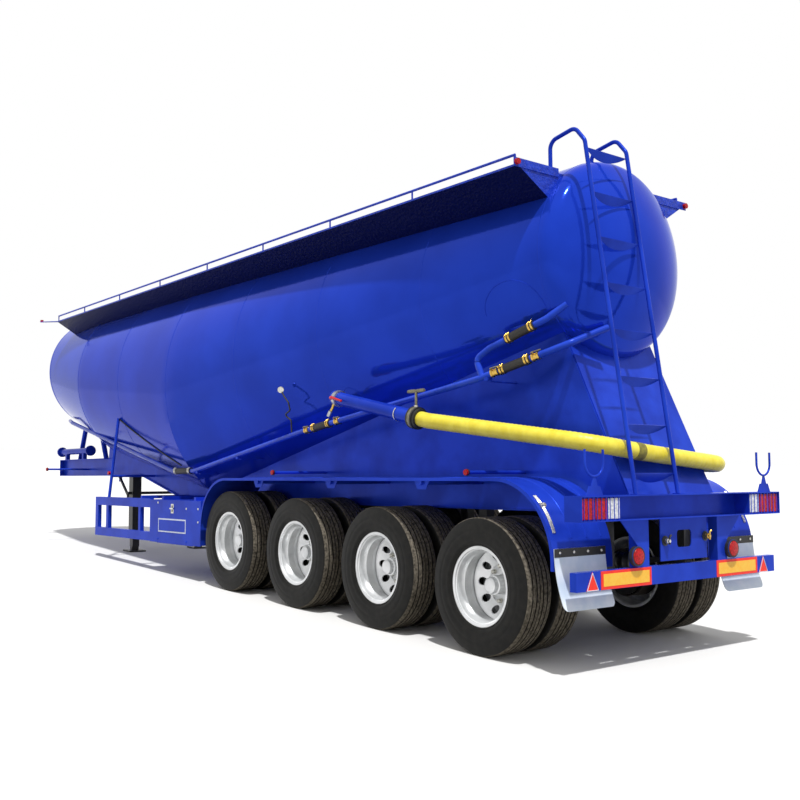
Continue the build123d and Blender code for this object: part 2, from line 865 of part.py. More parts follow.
# Fenders over all wheels of a side, with tube arms to the side frame
fender_skirt = 60
fender_arm_xs = [(axle_places[i][0] + axle_places[i + 1][0]) / 2 for i in range(axle_count - 1)]
fender_arm_z = fender_z - fender_wall - fender_arm_drop
with BuildPart() as fender_left:
    with BuildSketch(Plane(origin=(0, fender_outer_y, 0), x_dir=(1, 0, 0), z_dir=(0, -1, 0))) as sheet:
        fender_strip(fender_wall, fender_skirt)
    extrude(sheet.sketch, amount=fender_outer_y - fender_inner_y)
    with BuildSketch(Plane(origin=(0, fender_outer_y, 0), x_dir=(1, 0, 0), z_dir=(0, -1, 0))) as lip:
        fender_strip(fender_lip, fender_skirt)
    extrude(lip.sketch, amount=fender_wall)
    for x in fender_arm_xs:
        rod((x, web_outer, fender_arm_z), (x, fender_outer_y - fender_wall, fender_arm_z), fender_arm_radius)
        block(x - 6, x + 6, fender_inner_y + 20, fender_outer_y - 20, fender_arm_z, fender_z - fender_wall)
        bracket_top = fender_z - fender_wall
        bracket = [
            (x - fender_bracket_half, bracket_top),
            (x + fender_bracket_half, bracket_top),
            (x + fender_bracket_half / 2, bracket_top - fender_bracket_depth),
            (x - fender_bracket_half / 2, bracket_top - fender_bracket_depth),
        ]
        side_plate(bracket, fender_outer_y - fender_wall - 20, fender_bracket_wall)
pieces["fender_left"] = fender_left

with BuildPart() as fender_right:
    add(fender_left.part.mirror(Plane.XZ))
pieces["fender_right"] = fender_right

# Mudflaps behind the rear wheels, each with its clamping strip
flap_x = fender_rear_x - fender_rear_radius
with BuildPart() as mudflaps:
    for side in (-1, 1):
        block(flap_x - flap_wall, flap_x, side * flap_inner_y, side * flap_outer_y, flap_bottom, flap_top)
pieces["mudflaps"] = mudflaps

with BuildPart() as flap_strips:
    for side in (-1, 1):
        block(flap_x - flap_wall - flap_strip_wall, flap_x - flap_wall, side * flap_inner_y,
              side * flap_outer_y, flap_top - flap_strip_height, flap_top)
pieces["flap_strips"] = flap_strips

# Axles: tube, brake plates, spindles
spindle_end = outer_tyre_y - 90
with BuildPart() as axles:
    for x, z in axle_places:
        rod((x, -axle_tube_half, z), (x, axle_tube_half, z), axle_tube_radius)
        rod((x, -spindle_end, z), (x, spindle_end, z), spindle_radius)
        for side in (-1, 1):
            inner = side * (drum_inner_y - brake_plate_wall - 15)
            outer = side * (drum_inner_y - 15)
            rod((x, inner, z), (x, outer, z), brake_plate_radius)
pieces["axles"] = axles

# Leaf springs and hangers
spring_low_y = spring_y - spring_width / 2
with BuildPart() as leaf_springs:
    for x, z in axle_places:
        low = z + axle_tube_radius + spring_seat
        reach = axle_pitch * pitch_cos / 2 - hanger_length / 2
        leaf = [
            (x - reach, low + spring_eye_rise - spring_end - 60),
            (x - 90, low),
            (x + 90, low),
            (x + reach, low + spring_eye_rise - spring_end - 60),
            (x + reach, low + spring_eye_rise - 60),
            (x + 90, low + spring_middle),
            (x - 90, low + spring_middle),
            (x - reach, low + spring_eye_rise - 60),
        ]
        side_plate(leaf, spring_y + spring_width / 2, spring_width)
        block(x - 60, x + 60, spring_low_y, spring_low_y + spring_width, z + axle_tube_radius - 12, low)
    for x, z in axle_places:
        with Locations(Plane(origin=(x, spring_y, z), z_dir=(0, 1, 0))):
            Cylinder(axle_tube_radius + seat_gap, spring_width + 4, mode=Mode.SUBTRACT)
    mirror(about=Plane.XZ)
pieces["leaf_springs"] = leaf_springs

hanger_rows = []
for index in range(axle_count + 1):
    x = axle_places[0][0] + (index - 0.5) * axle_pitch * pitch_cos
    rear_neighbour = axle_places[max(index - 1, 0)][1]
    hanger_rows.append((x, rear_neighbour + axle_tube_radius + 20))
with BuildPart() as spring_hangers:
    for x, bottom in hanger_rows:
        block(x - hanger_length / 2, x + hanger_length / 2, spring_y - hanger_width / 2,
              spring_y + hanger_width / 2, bottom, frame_bottom)
    mirror(about=Plane.XZ)
pieces["spring_hangers"] = spring_hangers


def tyre_outline(centre_y):
    """Half section of one tyre: beads, bulging sides, round shoulders, flat tread."""
    bead = rim_half_width - rim_flange_wall - seat_gap
    half = tyre_width / 2
    shoulder_r = tyre_radius - 26
    belly_r = (rim_flange_radius + shoulder_r) / 2
    # columns: distance from the tyre's middle plane, radius
    rows = [
        (bead, rim_radius + seat_gap),
        (bead, rim_flange_radius + seat_gap),
        (bead + 16, rim_flange_radius + 14),
        (half - 2, belly_r - 45),
        (half, belly_r + 15),
        (half - 12, shoulder_r),
        (tread_half_width, tyre_radius),
    ]
    with BuildLine() as outline:
        outer = [(centre_y + across, radius) for across, radius in rows]
        inner = [(centre_y - across, radius) for across, radius in reversed(rows)]
        Polyline(*outer, *inner, close=True)
    make_face(outline.edges())


def rim_outline(centre_y, mount_y, lean):
    """Half section of a rim with its disc; lean is the way from the mounting face to the rim."""
    inner = rim_radius - rim_wall
    low = centre_y - rim_half_width
    high = centre_y + rim_half_width
    with BuildLine() as barrel:
        Polyline(
            (low, inner), (high, inner), (high, rim_flange_radius),
            (high - rim_flange_wall, rim_flange_radius), (high - rim_flange_wall, rim_radius),
            (low + rim_flange_wall, rim_radius), (low + rim_flange_wall, rim_flange_radius),
            (low, rim_flange_radius), close=True,
        )
    make_face(barrel.edges())
    with BuildLine() as disc:
        Polyline(
            (mount_y, hub_radius - 4), (mount_y + lean * disc_wall, hub_radius - 4),
            (mount_y + lean * disc_wall, disc_flat_radius),
            (mount_y + lean * (disc_run + disc_wall), inner + 2), (mount_y + lean * disc_run, inner + 2),
            (mount_y, disc_flat_radius), close=True,
        )
    make_face(disc.edges())


# Wheels: on each side of each axle a twin wheel that turns as one
mount_y = outer_tyre_y - twin_spacing / 2
bore = spindle_radius + spindle_gap
hub_end = spindle_end + 12
for side_name, side in (("left", 1), ("right", -1)):
    for index, (x, z) in enumerate(axle_places, 1):
        spin = Axis((x, 0, z), (0, 1, 0))
        section_plane = Plane(origin=(x, 0, z), x_dir=(0, side, 0), z_dir=(side, 0, 0))
        with BuildPart() as tyres:
            with BuildSketch(section_plane):
                tyre_outline(outer_tyre_y)
                tyre_outline(outer_tyre_y - twin_spacing)
            revolve(axis=spin)
        pieces[f"tyres_{side_name}_{index}"] = tyres
        with BuildPart() as wheel:
            with BuildSketch(section_plane):
                rim_outline(outer_tyre_y, mount_y, 1)
                rim_outline(outer_tyre_y - twin_spacing, mount_y, -1)
                with BuildLine():
                    Polyline(
                        (drum_inner_y, bore), (hub_end, bore), (hub_end, 0),
                        (hub_end + hub_cap_length, 0), (hub_end + hub_cap_length, hub_cap_radius - 14),
                        (hub_end + hub_cap_length - 14, hub_cap_radius), (mount_y + 40, hub_cap_radius + 6),
                        (mount_y + 40, hub_radius), (drum_outer_y, hub_radius),
                        (drum_outer_y, drum_radius), (drum_inner_y, drum_radius),
                        (drum_inner_y, drum_radius - drum_wall),
                        (drum_outer_y - drum_wall, drum_radius - drum_wall),
                        (drum_outer_y - drum_wall, hub_radius), (drum_inner_y, hub_radius), close=True,
                    )
                make_face()
            revolve(axis=spin)
            hole_frame = Plane(origin=(x, side * mount_y, z), x_dir=(1, 0, 0), z_dir=(0, side, 0))
            with BuildSketch(hole_frame) as hand_holes:
                with PolarLocations(hand_hole_circle, hand_hole_count):
                    Circle(hand_hole_radius)
            extrude(hand_holes.sketch, amount=disc_run + 20, both=True, mode=Mode.SUBTRACT)
        pieces[f"wheel_{side_name}_{index}"] = wheel

# Landing legs: square sleeve, inner tube, braces, gear shaft and crank
foot_z = leg_x * tan(radians(park_pitch))
with BuildPart() as landing_legs:
    half = leg_side / 2
    inner_half = leg_inner_side / 2
    for side in (-1, 1):
        y = side * leg_y
        block(leg_x - half, leg_x + half, y - half, y + half, leg_sleeve_bottom, coupler_z)
        block(leg_x - inner_half, leg_x + inner_half, y - inner_half, y + inner_half,
              foot_z + 70, leg_sleeve_bottom)
        rod((leg_x, y, leg_brace_z), (leg_brace_x, y, coupler_z + 20), leg_brace_radius)
    rod((leg_x, -leg_y, leg_shaft_z), (leg_x, leg_y + half + 60, leg_shaft_z), leg_shaft_radius)
    crank_y = leg_y + half + 50
    rod((leg_x, crank_y, leg_shaft_z + 10), (leg_x, crank_y, leg_shaft_z - leg_crank_length), 12)
    block(neck_end_x, leg_brace_x + 200, -leg_y - 200, leg_y + 200, coupler_z, coupler_z + 200,
          mode=Mode.SUBTRACT)
pieces["landing_legs"] = landing_legs

# Leg feet: level pads with a cross hub that rocks under the inner tube
with BuildPart() as leg_feet:
    for side in (-1, 1):
        y = side * leg_y
        ground = Plane(origin=(leg_x, y, foot_z), x_dir=(pitch_cos, 0, pitch_sin),
                       z_dir=(-pitch_sin, 0, pitch_cos))
        with BuildSketch(ground) as pad:
            Rectangle(foot_side, foot_side)
        extrude(pad.sketch, amount=foot_wall)
        block(leg_x - 30, leg_x + 30, y - 50, y + 50, foot_z + foot_wall / 2, foot_z + 70)
pieces["leg_feet"] = leg_feet


stay_top = (stay_top_x, shell_y(stay_top_x, stay_top_z) + 15, stay_top_z)
stay_foot = (guard_hanger_x, guard_y - guard_tube / 2, guard_top - 10)


def on_stay(z):
    """The point of the stay's axis at height z."""
    share = (z - stay_foot[2]) / (stay_top[2] - stay_foot[2])
    return Vector(*stay_foot) + (Vector(*stay_top) - Vector(*stay_foot)) * share


def guard_frame():
    """Add one left side guard: two rails, uprights, arms to the side frame and the stay."""
    y0 = guard_y - guard_tube
    block(box_front_x, guard_front_x, y0, guard_y, guard_top - guard_rail, guard_top)
    block(box_front_x, guard_front_x, y0, guard_y, guard_bottom, guard_bottom + guard_rail)
    for x, width in guard_upright_rows:
        block(x - width / 2, x + width / 2, y0, guard_y, guard_bottom, guard_top)
    rod(stay_foot, stay_top, stay_radius)
    arm_end = on_stay(guard_arm_rise_z)
    rod((arm_end.X, web_outer, guard_arm_rise_z), tuple(arm_end), stay_radius - 4)
    arm_bottom = frame_bottom + flange_wall + 4
    block(guard_arm_x - 20, guard_arm_x + 20, web_outer, y0 + guard_tube / 2, arm_bottom,
          arm_bottom + guard_arm_height)


with BuildPart() as side_guards:
    guard_frame()
    add(cutter, mode=Mode.SUBTRACT)
    mirror(about=Plane.XZ)
pieces["side_guards"] = side_guards

# Tool boxes, open on the outer side, hung on arms from the side frames
with BuildPart() as tool_boxes:
    block(box_rear_x, box_front_x, guard_y - box_depth, guard_y - door_wall - seat_gap, box_bottom, box_top)
    block(box_rear_x + box_wall, box_front_x - box_wall, guard_y - box_depth + box_wall, guard_y,
          box_bottom + box_wall, box_top - box_wall, mode=Mode.SUBTRACT)
    for x in guard_arm_xs:
        block(x - 25, x + 25, web_outer, guard_y - 40, box_top, box_top + 40)
    mirror(about=Plane.XZ)
pieces["tool_boxes"] = tool_boxes

# Tool box doors, hinged along their lower edge
door_hinge_z = box_bottom - door_hinge_radius - 2
for side_name, side in (("left", 1), ("right", -1)):
    with BuildPart() as box_door:
        block(box_rear_x, box_front_x, side * (guard_y - door_wall), side * guard_y,
              door_hinge_z, box_top - 2)
        y = side * (guard_y - door_hinge_radius)
        rod((box_rear_x + 200, y, door_hinge_z), (box_front_x - 200, y, door_hinge_z), door_hinge_radius)
    pieces[f"box_door_{side_name}"] = box_door

# Marker lamps on their rods
with BuildPart() as marker_rods:
    for x, z in marker_rows:
        rod((x, web_outer, z), (x, marker_y - marker_depth, z), marker_rod)
    stay_mark = on_stay(stay_marker_z)
    stay_mark_y = stay_mark.Y + stay_radius + 2
    rod((stay_mark.X, stay_mark_y, stay_marker_z), (stay_mark.X, marker_y - marker_depth, stay_marker_z),
        marker_rod)
    mirror(about=Plane.XZ)
pieces["marker_rods"] = marker_rods

with BuildPart() as marker_lamps:
    for x, z in marker_rows + [(stay_mark.X, stay_marker_z)]:
        rod((x, marker_y - marker_depth, z), (x, marker_y, z), marker_radius)
    arm_lamp_x = tank_rear_x - arm_thickness
    rod((arm_lamp_x, rear_arm_tip_y - marker_radius, deck_z), (arm_lamp_x - marker_depth, rear_arm_tip_y -
        marker_radius, deck_z), marker_radius)
    tip_x = front_arm_tip_x - front_arm_half
    tip_y = front_arm_tip_y - front_arm_half
    rod((tip_x, tip_y, deck_z), (tip_x, tip_y, deck_z + marker_depth), marker_radius)
    mirror(about=Plane.XZ)
pieces["marker_lamps"] = marker_lamps

# Air pipe from the front manifold to the rear dish, with its branch
with BuildPart() as air_pipe:
    bent_bar(pipe_route + [pipe_end], pipe_bend, pipe_radius)
    tee = on_run(5, 0.05)
    bent_bar([tuple(tee)] + branch_route + [branch_end], 60, pipe_radius)
    add(cutter, mode=Mode.SUBTRACT)
    whole = air_pipe.part.solids().sort_by(SortBy.VOLUME)[-1]
with BuildPart() as air_pipe:
    add(whole)
pieces["air_pipe"] = air_pipe

# Rubber sleeves over the joints of the air pipe
with BuildPart() as air_sleeves:
    for run, first, last in sleeve_rows:
        rod(tuple(on_run(run, first)), tuple(on_run(run, last)), sleeve_radius, pipe_radius + seat_gap)
pieces["air_sleeves"] = air_sleeves

# Pipe brackets: flat bars from the web to the air pipe and the discharge pipe
with BuildPart() as pipe_brackets:
    for run, share in bracket_rows:
        at = on_run(run, share)
        block(at.X - 20, at.X + 20, web_outer, at.Y - pipe_radius / 2, at.Z - pipe_radius - bracket_wall - 20,
              at.Z - pipe_radius - 20)
        block(at.X - 20, at.X + 20, at.Y - pipe_radius, at.Y + pipe_radius, at.Z - pipe_radius - 20,
              at.Z - pipe_radius + 8)
    add(cutter, mode=Mode.SUBTRACT)
    for run, share in bracket_rows:
        rod(tuple(on_run(run, share - 0.03)), tuple(on_run(run, share + 0.03)), pipe_radius + seat_gap,
            mode=Mode.SUBTRACT)
    add(air_pipe.part, mode=Mode.SUBTRACT)
pieces["pipe_brackets"] = pipe_brackets

# Discharge pipe with end cap, cam levers and valve
out_run = Vector(outlet_rear[0] - outlet_front[0], 0, outlet_rear[1] - outlet_front[1]).normalized()
front_end = Vector(outlet_front[0], outlet_y, outlet_front[1])
rear_end = Vector(outlet_rear[0], outlet_y, outlet_rear[1])
with BuildPart() as discharge_pipe:
    rod(tuple(front_end), tuple(rear_end), outlet_radius)
    rod(tuple(front_end - out_run * cap_length), tuple(front_end + out_run * 20), cap_radius)
    strap = front_end + (rear_end - front_end) * 0.8
    block(strap.X - 25, strap.X + 25, web_outer, outlet_y, strap.Z - outlet_radius - 12,
          strap.Z - outlet_radius + 8)
pieces["discharge_pipe"] = discharge_pipe

with BuildPart() as discharge_valve:
    rod(tuple(rear_end), tuple(rear_end + out_run * valve_length), valve_radius)
    stem = rear_end + out_run * (valve_length / 2)
    tip = stem + Vector(0, 0, valve_stem_height)
    rod(tuple(stem), tuple(tip), 10)
    rod((tip.X - valve_bar_half, tip.Y, tip.Z), (tip.X + valve_bar_half, tip.Y, tip.Z), 12)
    for side in (-1, 1):
        near = front_end - out_run * 20 + Vector(0, side * (cap_radius + 9.4), 0)
        rod(tuple(near), tuple(near + out_run * lever_length), 9)
pieces["discharge_valve"] = discharge_valve

# Stored hose: from the valve round behind the sloping plate to the right side
hose_start = rear_end + out_run * valve_length
with BuildPart() as discharge_hose:
    hose_corners = [tuple(hose_start), tuple(hose_start + out_run * hose_lead)] + hose_route
    bent_bar(hose_corners, hose_bend, hose_radius)
pieces["discharge_hose"] = discharge_hose

with BuildPart() as hose_coupling:
    end = Vector(*hose_route[-1])
    run = (end - Vector(*hose_route[-2])).normalized()
    rod(tuple(end), tuple(end + run * coupling_length), coupling_radius)
    foot = end + run * coupling_length / 2
    block(foot.X - 20, foot.X + 20, foot.Y, -web_outer, foot.Z - 15, foot.Z + 15)
pieces["hose_coupling"] = hose_coupling

# Air reservoirs under the vee, strapped to the side frames
with BuildPart() as air_reservoirs:
    for x in reservoir_xs:
        rod((x, -reservoir_half, reservoir_z), (x, reservoir_half, reservoir_z), reservoir_radius)
        for side in (-1, 1):
            y = side * (reservoir_half - 80)
            block(x - 10, x + 10, y - strap_width / 2, y + strap_width / 2, reservoir_z, frame_bottom - 20)
        block(x - 30, x + 30, -web_outer, web_outer, frame_bottom - 30, frame_bottom)
pieces["air_reservoirs"] = air_reservoirs

# Nose-down stance, then the origin on the ground under the middle of the trailer
pitched = Location((0, 0, 0), (0, park_pitch, 0))
corners = []
for piece in pieces.values():
    box = piece.part.moved(pitched).bounding_box()
    corners.append((box.min.X, box.max.X))
origin_x = (min(low for low, high in corners) + max(high for low, high in corners)) / 2
parked = Location((-origin_x, 0, 0)) * pitched

os.makedirs("parts", exist_ok=True)
for name, piece in pieces.items():
    placed = piece.part.moved(parked)
    placed.label = name
    export_step(placed, f"parts/{name}.step")
print("origin_x", origin_x, "pieces", len(pieces))
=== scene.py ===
import math

import bpy
import numpy as np
from mathutils import Matrix, Vector


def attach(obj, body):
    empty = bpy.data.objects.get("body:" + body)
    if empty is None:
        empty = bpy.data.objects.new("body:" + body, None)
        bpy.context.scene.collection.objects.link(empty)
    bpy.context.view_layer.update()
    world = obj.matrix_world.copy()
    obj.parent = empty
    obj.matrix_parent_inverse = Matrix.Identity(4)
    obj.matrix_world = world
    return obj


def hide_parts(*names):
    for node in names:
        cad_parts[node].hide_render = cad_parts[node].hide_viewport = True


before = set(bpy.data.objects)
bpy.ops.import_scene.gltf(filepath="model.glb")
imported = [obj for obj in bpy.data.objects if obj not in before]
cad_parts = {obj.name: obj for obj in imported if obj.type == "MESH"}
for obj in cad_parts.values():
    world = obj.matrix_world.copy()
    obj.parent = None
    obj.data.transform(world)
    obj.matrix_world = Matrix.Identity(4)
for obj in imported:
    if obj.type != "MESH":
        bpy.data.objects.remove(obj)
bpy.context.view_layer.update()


# The trailer's stance. It is parked on its landing legs, nose down by a little over two degrees,
# so its own straight lines, drawn level here in millimetres, are tipped before they are placed.
PARK_PITCH = math.radians(2.35)
REAR_AXLE_X = -4891.954
AXLE_PITCH = 1310.0
AXLE_COUNT = 4


def parked(points):
    """Body points in mm turned about Y by the park pitch, then shifted along X, in metres."""
    points = np.asarray(points, float)
    c, s = math.cos(PARK_PITCH), math.sin(PARK_PITCH)
    x = points[..., 0] * c + points[..., 2] * s + REAR_AXLE_X
    z = -points[..., 0] * s + points[..., 2] * c
    return np.stack([x, points[..., 1], z], axis=-1) / 1000.0


# Royal blue two-pack enamel, sprayed over primed steel plate and left glossy, with faint orange
# peel and a tone that drifts a little. The frame's coat is a shade duller than the tank's.
def linear(hex_colour):
    """sRGB hex to linear: each channel by the standard two-part curve."""
    value = hex_colour.lstrip("#")
    channels = np.array([int(value[i:i + 2], 16) for i in (0, 2, 4)]) / 255.0
    curve = np.where(channels <= 0.04045, channels / 12.92, ((channels + 0.055) / 1.055) ** 2.4)
    return tuple(float(c) for c in curve) + (1.0,)


def add_node(tree, kind, settings=None, links=None):
    """Add one node, set its properties or sockets by name, and link (socket, source) pairs."""
    made = tree.nodes.new(kind)
    for key, value in (settings or {}).items():
        if isinstance(key, str) and hasattr(made, key):
            setattr(made, key, value)
        else:
            made.inputs[key].default_value = value
    for key, source in (links or {}).items():
        tree.links.new(source, made.inputs[key])
    return made


def new_finish(name, colour, dark, roughness, metallic=0.0, coat=0.0, grain_mm=60.0, bump=0.0,
               bump_mm=3.0, contrast=0.5, ior=1.5, sky_reflection_tint=None):
    """A finish for one colour slot: two tones that drift by noise of grain_mm, with bump of bump_mm."""
    material = bpy.data.materials.new(name)
    material.use_nodes = True
    tree = material.node_tree
    shader = tree.nodes["Principled BSDF"]
    place = add_node(tree, "ShaderNodeTexCoord")
    drift = add_node(tree, "ShaderNodeTexNoise", {"Scale": 1000.0 / grain_mm, "Detail": 4.0},
                     {"Vector": place.outputs["Object"]})
    ramp = add_node(tree, "ShaderNodeValToRGB", {}, {"Fac": drift.outputs["Fac"]})
    half_band = 0.25 * (1.0 - contrast)
    for stop, shift, tone in zip(ramp.color_ramp.elements, (-half_band, half_band), (dark, colour)):
        stop.position = 0.5 + shift
        stop.color = linear(tone)
    tree.links.new(ramp.outputs["Color"], shader.inputs["Base Color"])
    shader.inputs["Roughness"].default_value = roughness
    shader.inputs["Metallic"].default_value = metallic
    if metallic < 1.0:
        shader.inputs["IOR"].default_value = ior
    # A tint colours the gloss. Where it is given here, it paints a reflection of blue sky.
    if sky_reflection_tint:
        shader.inputs["Specular Tint"].default_value = linear(sky_reflection_tint)
    if coat:
        shader.inputs["Coat Weight"].default_value = coat
        shader.inputs["Coat Roughness"].default_value = 0.04
    if bump:
        peel = add_node(tree, "ShaderNodeTexNoise", {"Scale": 1000.0 / bump_mm, "Detail": 2.0},
                        {"Vector": place.outputs["Object"]})
        relief = add_node(tree, "ShaderNodeBump", {"Strength": bump, "Distance": bump_mm / 1000.0},
                          {"Height": peel.outputs["Fac"]})
        tree.links.new(relief.outputs["Normal"], shader.inputs["Normal"])
    return material


# The gloss of both coats is tinted pale blue and carries a little metallic weight, which colours it with the
# base blue: a painted reflection of blue sky.
blue_enamel = new_finish("royal_blue_enamel", "#2042c6", "#1b3ab4", 0.1, metallic=0.3,
                         grain_mm=900.0, bump=0.02, bump_mm=25.0, ior=1.22, sky_reflection_tint="#98acff")
blue_frame_enamel = new_finish("royal_blue_frame_enamel", "#2445c8", "#1c38ae", 0.24,
                               metallic=0.2, grain_mm=350.0, bump=0.04, bump_mm=12.0, ior=1.22,
                               sky_reflection_tint="#98acff")
for node_name, node_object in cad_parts.items():
    node_object.data.materials.clear()
    node_object.data.materials.append(blue_frame_enamel)


# Tank: rolled steel plate courses butt welded into one shell that is deepest at the vee, with a
# dished end pressed and welded on at each end. The whole skin is one glossy blue surface.
TANK_TOP = 3985.0
# columns: x, half width, half height
TANK_STATIONS = np.array([
    (-355.0, 829.0, 829.0),
    (5500.0, 1200.0, 1470.0),
    (8600.0, 1100.0, 1180.0),
    (10350.0, 900.0, 900.0),
])
REAR_DISH_DEPTH = 373.0
FRONT_DISH_DEPTH = 380.0
DISH_KNUCKLE = 180.0
APEX_RADIUS = 0.5
DISH_STEPS = 14
COURSE_STEPS = 24
RING_STEPS = 160


def bands(low, high):
    """Quads between rows of vertex numbers that wrap along their last axis."""
    return np.stack([low, high, np.roll(high, -1, axis=-1), np.roll(low, -1, axis=-1)], axis=-1)


def surface_object(name, points, finish, body="trailer", hollow=False, sharp=40.0):
    """Quads of an (nu, nv, 3) grid in metres that wraps along v. The ends are capped, or joined if hollow."""
    index = np.arange(points.shape[0] * points.shape[1]).reshape(points.shape[:2])
    quads = bands(index, np.roll(index, -1, axis=0))
    if hollow:
        faces = quads.reshape(-1, 4).tolist()
    else:
        faces = quads[:-1].reshape(-1, 4).tolist() + [index[0].tolist(), index[-1][::-1].tolist()]
    return mesh_object(name, points.reshape(-1, 3), faces, finish, body, sharp)


def mesh_object(name, vertices, faces, finish, body="trailer", sharp=None):
    """A mesh from vertices in metres and face lists, smooth up to the sharp angle in degrees."""
    mesh = bpy.data.meshes.new(name)
    mesh.from_pydata(np.asarray(vertices).tolist(), [], faces)
    mesh.materials.append(finish)
    mesh.update()
    if sharp is not None:
        mesh.polygons.foreach_set("use_smooth", np.ones(len(mesh.polygons), bool))
        mesh.set_sharp_from_angle(angle=math.radians(sharp))
    piece = bpy.data.objects.new(name, mesh)
    bpy.context.scene.collection.objects.link(piece)
    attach(piece, body)
    return piece


def dish_profile(radius, depth, count):
    """Crown arc then knuckle arc, tangent where they meet, as bulge and radius from the rim."""
    k = DISH_KNUCKLE
    crown = (depth**2 + (radius - k) ** 2 - k**2) / (2 * (depth - k))
    turn = math.atan2(radius - k, crown - depth)
    a = np.linspace(0.0, turn, count)
    crown_x = depth - crown + crown * np.cos(a)
    crown_r = crown * np.sin(a)
    b = np.linspace(turn, math.pi / 2, count)[1:]
    knuckle_x = k * np.cos(b)
    knuckle_r = radius - k + k * np.sin(b)
    return np.concatenate([crown_x, knuckle_x]), np.concatenate([crown_r, knuckle_r])


def tank_rings():
    """Rings from the rear apex to the front apex as columns x, half width, half height, centre z."""
    rear = TANK_STATIONS[0]
    front = TANK_STATIONS[-1]
    bulge, radius = dish_profile(rear[1], REAR_DISH_DEPTH, DISH_STEPS)
    rings = [np.stack([rear[0] - bulge, radius, radius, np.full_like(radius, TANK_TOP - rear[2])], axis=1)]
    for a, b in zip(TANK_STATIONS, TANK_STATIONS[1:]):
        share = np.linspace(0.0, 1.0, COURSE_STEPS)[1:, None]
        run = a + (b - a) * share
        rings.append(np.column_stack([run, TANK_TOP - run[:, 2]]))
    bulge, radius = dish_profile(front[1], FRONT_DISH_DEPTH, DISH_STEPS)
    cap = np.stack([front[0] + bulge, radius, radius, np.full_like(radius, TANK_TOP - front[2])], axis=1)
    rings.append(cap[::-1][1:])
    rings = np.concatenate(rings)
    rings[[0, -1], 1:3] = APEX_RADIUS
    return rings


def ellipse_grid(rings):
    """Each ring's ellipse sampled at even parameter steps about its own centre."""
    t = np.linspace(0.0, 2 * math.pi, RING_STEPS, endpoint=False)
    x = np.repeat(rings[:, 0:1], RING_STEPS, axis=1)
    y = rings[:, 1:2] * np.cos(t)[None, :]
    z = rings[:, 3:4] + rings[:, 2:3] * np.sin(t)[None, :]
    return np.stack([x, y, z], axis=-1)


tank_skin = surface_object("tank_skin", parked(ellipse_grid(tank_rings()))[:, ::-1], blue_enamel, sharp=9.0)
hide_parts("tank_rear_section", "tank_front_section", "dished_ends")


# Circumferential weld beads, one where each plate course meets the next: a narrow raised cap of
# weld metal, ground lightly and painted over.
WELD_XS = [-350.0, 1000.0, 2500.0, 4000.0, 5500.0, 7050.0, 8600.0, 10345.0]
WELD_HALF_WIDTH = 7.0
WELD_RISE = 2.2


def station_at(x):
    """Half width and half height at x, on straight lines between the stations."""
    return (np.interp(x, TANK_STATIONS[:, 0], TANK_STATIONS[:, 1]),
            np.interp(x, TANK_STATIONS[:, 0], TANK_STATIONS[:, 2]))


def weld_rings():
    """Four rings at each weld: down in the skin, up on the cap, across it, and down again."""
    foot, crown = WELD_HALF_WIDTH, 0.45 * WELD_HALF_WIDTH
    loops = []
    for x in WELD_XS:
        for shift, rise in ((-foot, -1.0), (-crown, WELD_RISE), (crown, WELD_RISE), (foot, -1.0)):
            half_width, half_height = station_at(x + shift)
            loops.append((x + shift, half_width + rise, half_height + rise, TANK_TOP - half_height))
    return np.array(loops)


def closed_quads(index):
    """Quads of a grid of vertex numbers that wraps along its last two axes."""
    return np.roll(bands(np.roll(index, -1, axis=-2), index), -1, axis=-1).reshape(-1, 4)


weld_points = parked(ellipse_grid(weld_rings()))
weld_index = np.arange(len(WELD_XS) * 4 * RING_STEPS).reshape(len(WELD_XS), 4, RING_STEPS)
mesh_object("tank_weld_beads", weld_points.reshape(-1, 3), closed_quads(weld_index).tolist(), blue_enamel,
            sharp=60.0)


# Tyres: 1.06 m steel-cord radials, black rubber gone grey-brown with dust on the tread ribs. Five
# straight grooves run round the tread, and the side walls carry shallow moulded rings.
TYRE_RADIUS = 530.0
OUTER_TYRE_Y = 1070.0
TWIN_SPACING = 335.0
TREAD_FROM = 517.0
TYRE_STEPS = 128

side_rubber = new_finish("tyre_side_rubber", "#1c1b19", "#121211", 0.5, grain_mm=60.0,
                         bump=0.12, bump_mm=5.0, ior=1.26)
tread_rubber = new_finish("dusty_tread_rubber", "#837b6d", "#37332d", 0.8, grain_mm=22.0,
                          bump=0.5, bump_mm=4.0, contrast=0.2, ior=1.22)


def tyre_profile():
    """Rim seat to rim seat over bead, ringed side wall, shoulder, ribs and grooves, as y and radius."""
    wall_y = np.array([111, 111, 124, 128, 126, 134, 139, 138, 141.5, 142.5, 142.5, 141, 142.5, 138, 135,
                       131, 128])
    wall_r = np.array([287, 306.5, 312, 318, 323, 336, 352, 356, 380, 400, 424, 428, 434, 462, 478, 500, 512])
    grooves = [(-78, 8), (-34, 9), (0, 5), (34, 9), (78, 8)]
    tread_y = [123.0, 114.0]
    tread_r = [522.0, 528.5]
    for centre, width in grooves[::-1]:
        tread_y += [centre + shift for shift in (width / 2 + 1, width / 2 - 1, 1 - width / 2, -1 - width / 2)]
        tread_r += [530.0, 514.0, 514.0, 530.0]
    tread_y += [-114.0, -123.0]
    tread_r += [528.5, 522.0]
    y = np.concatenate([wall_y, tread_y, -wall_y[::-1]])
    r = np.concatenate([wall_r, tread_r, wall_r[::-1]])
    return y, r


def turned(profile_y, profile_r, centre, turns):
    """Profile turned about the Y axis through centre, in metres, with turns steps."""
    t = np.linspace(0.0, 2 * math.pi, turns, endpoint=False)
    x = centre[0] + profile_r[:, None] * np.cos(t)[None, :]
    y = np.repeat(profile_y[:, None], turns, axis=1) + centre[1]
    z = centre[2] + profile_r[:, None] * np.sin(t)[None, :]
    return np.stack([x, y, z], axis=-1) / 1000.0


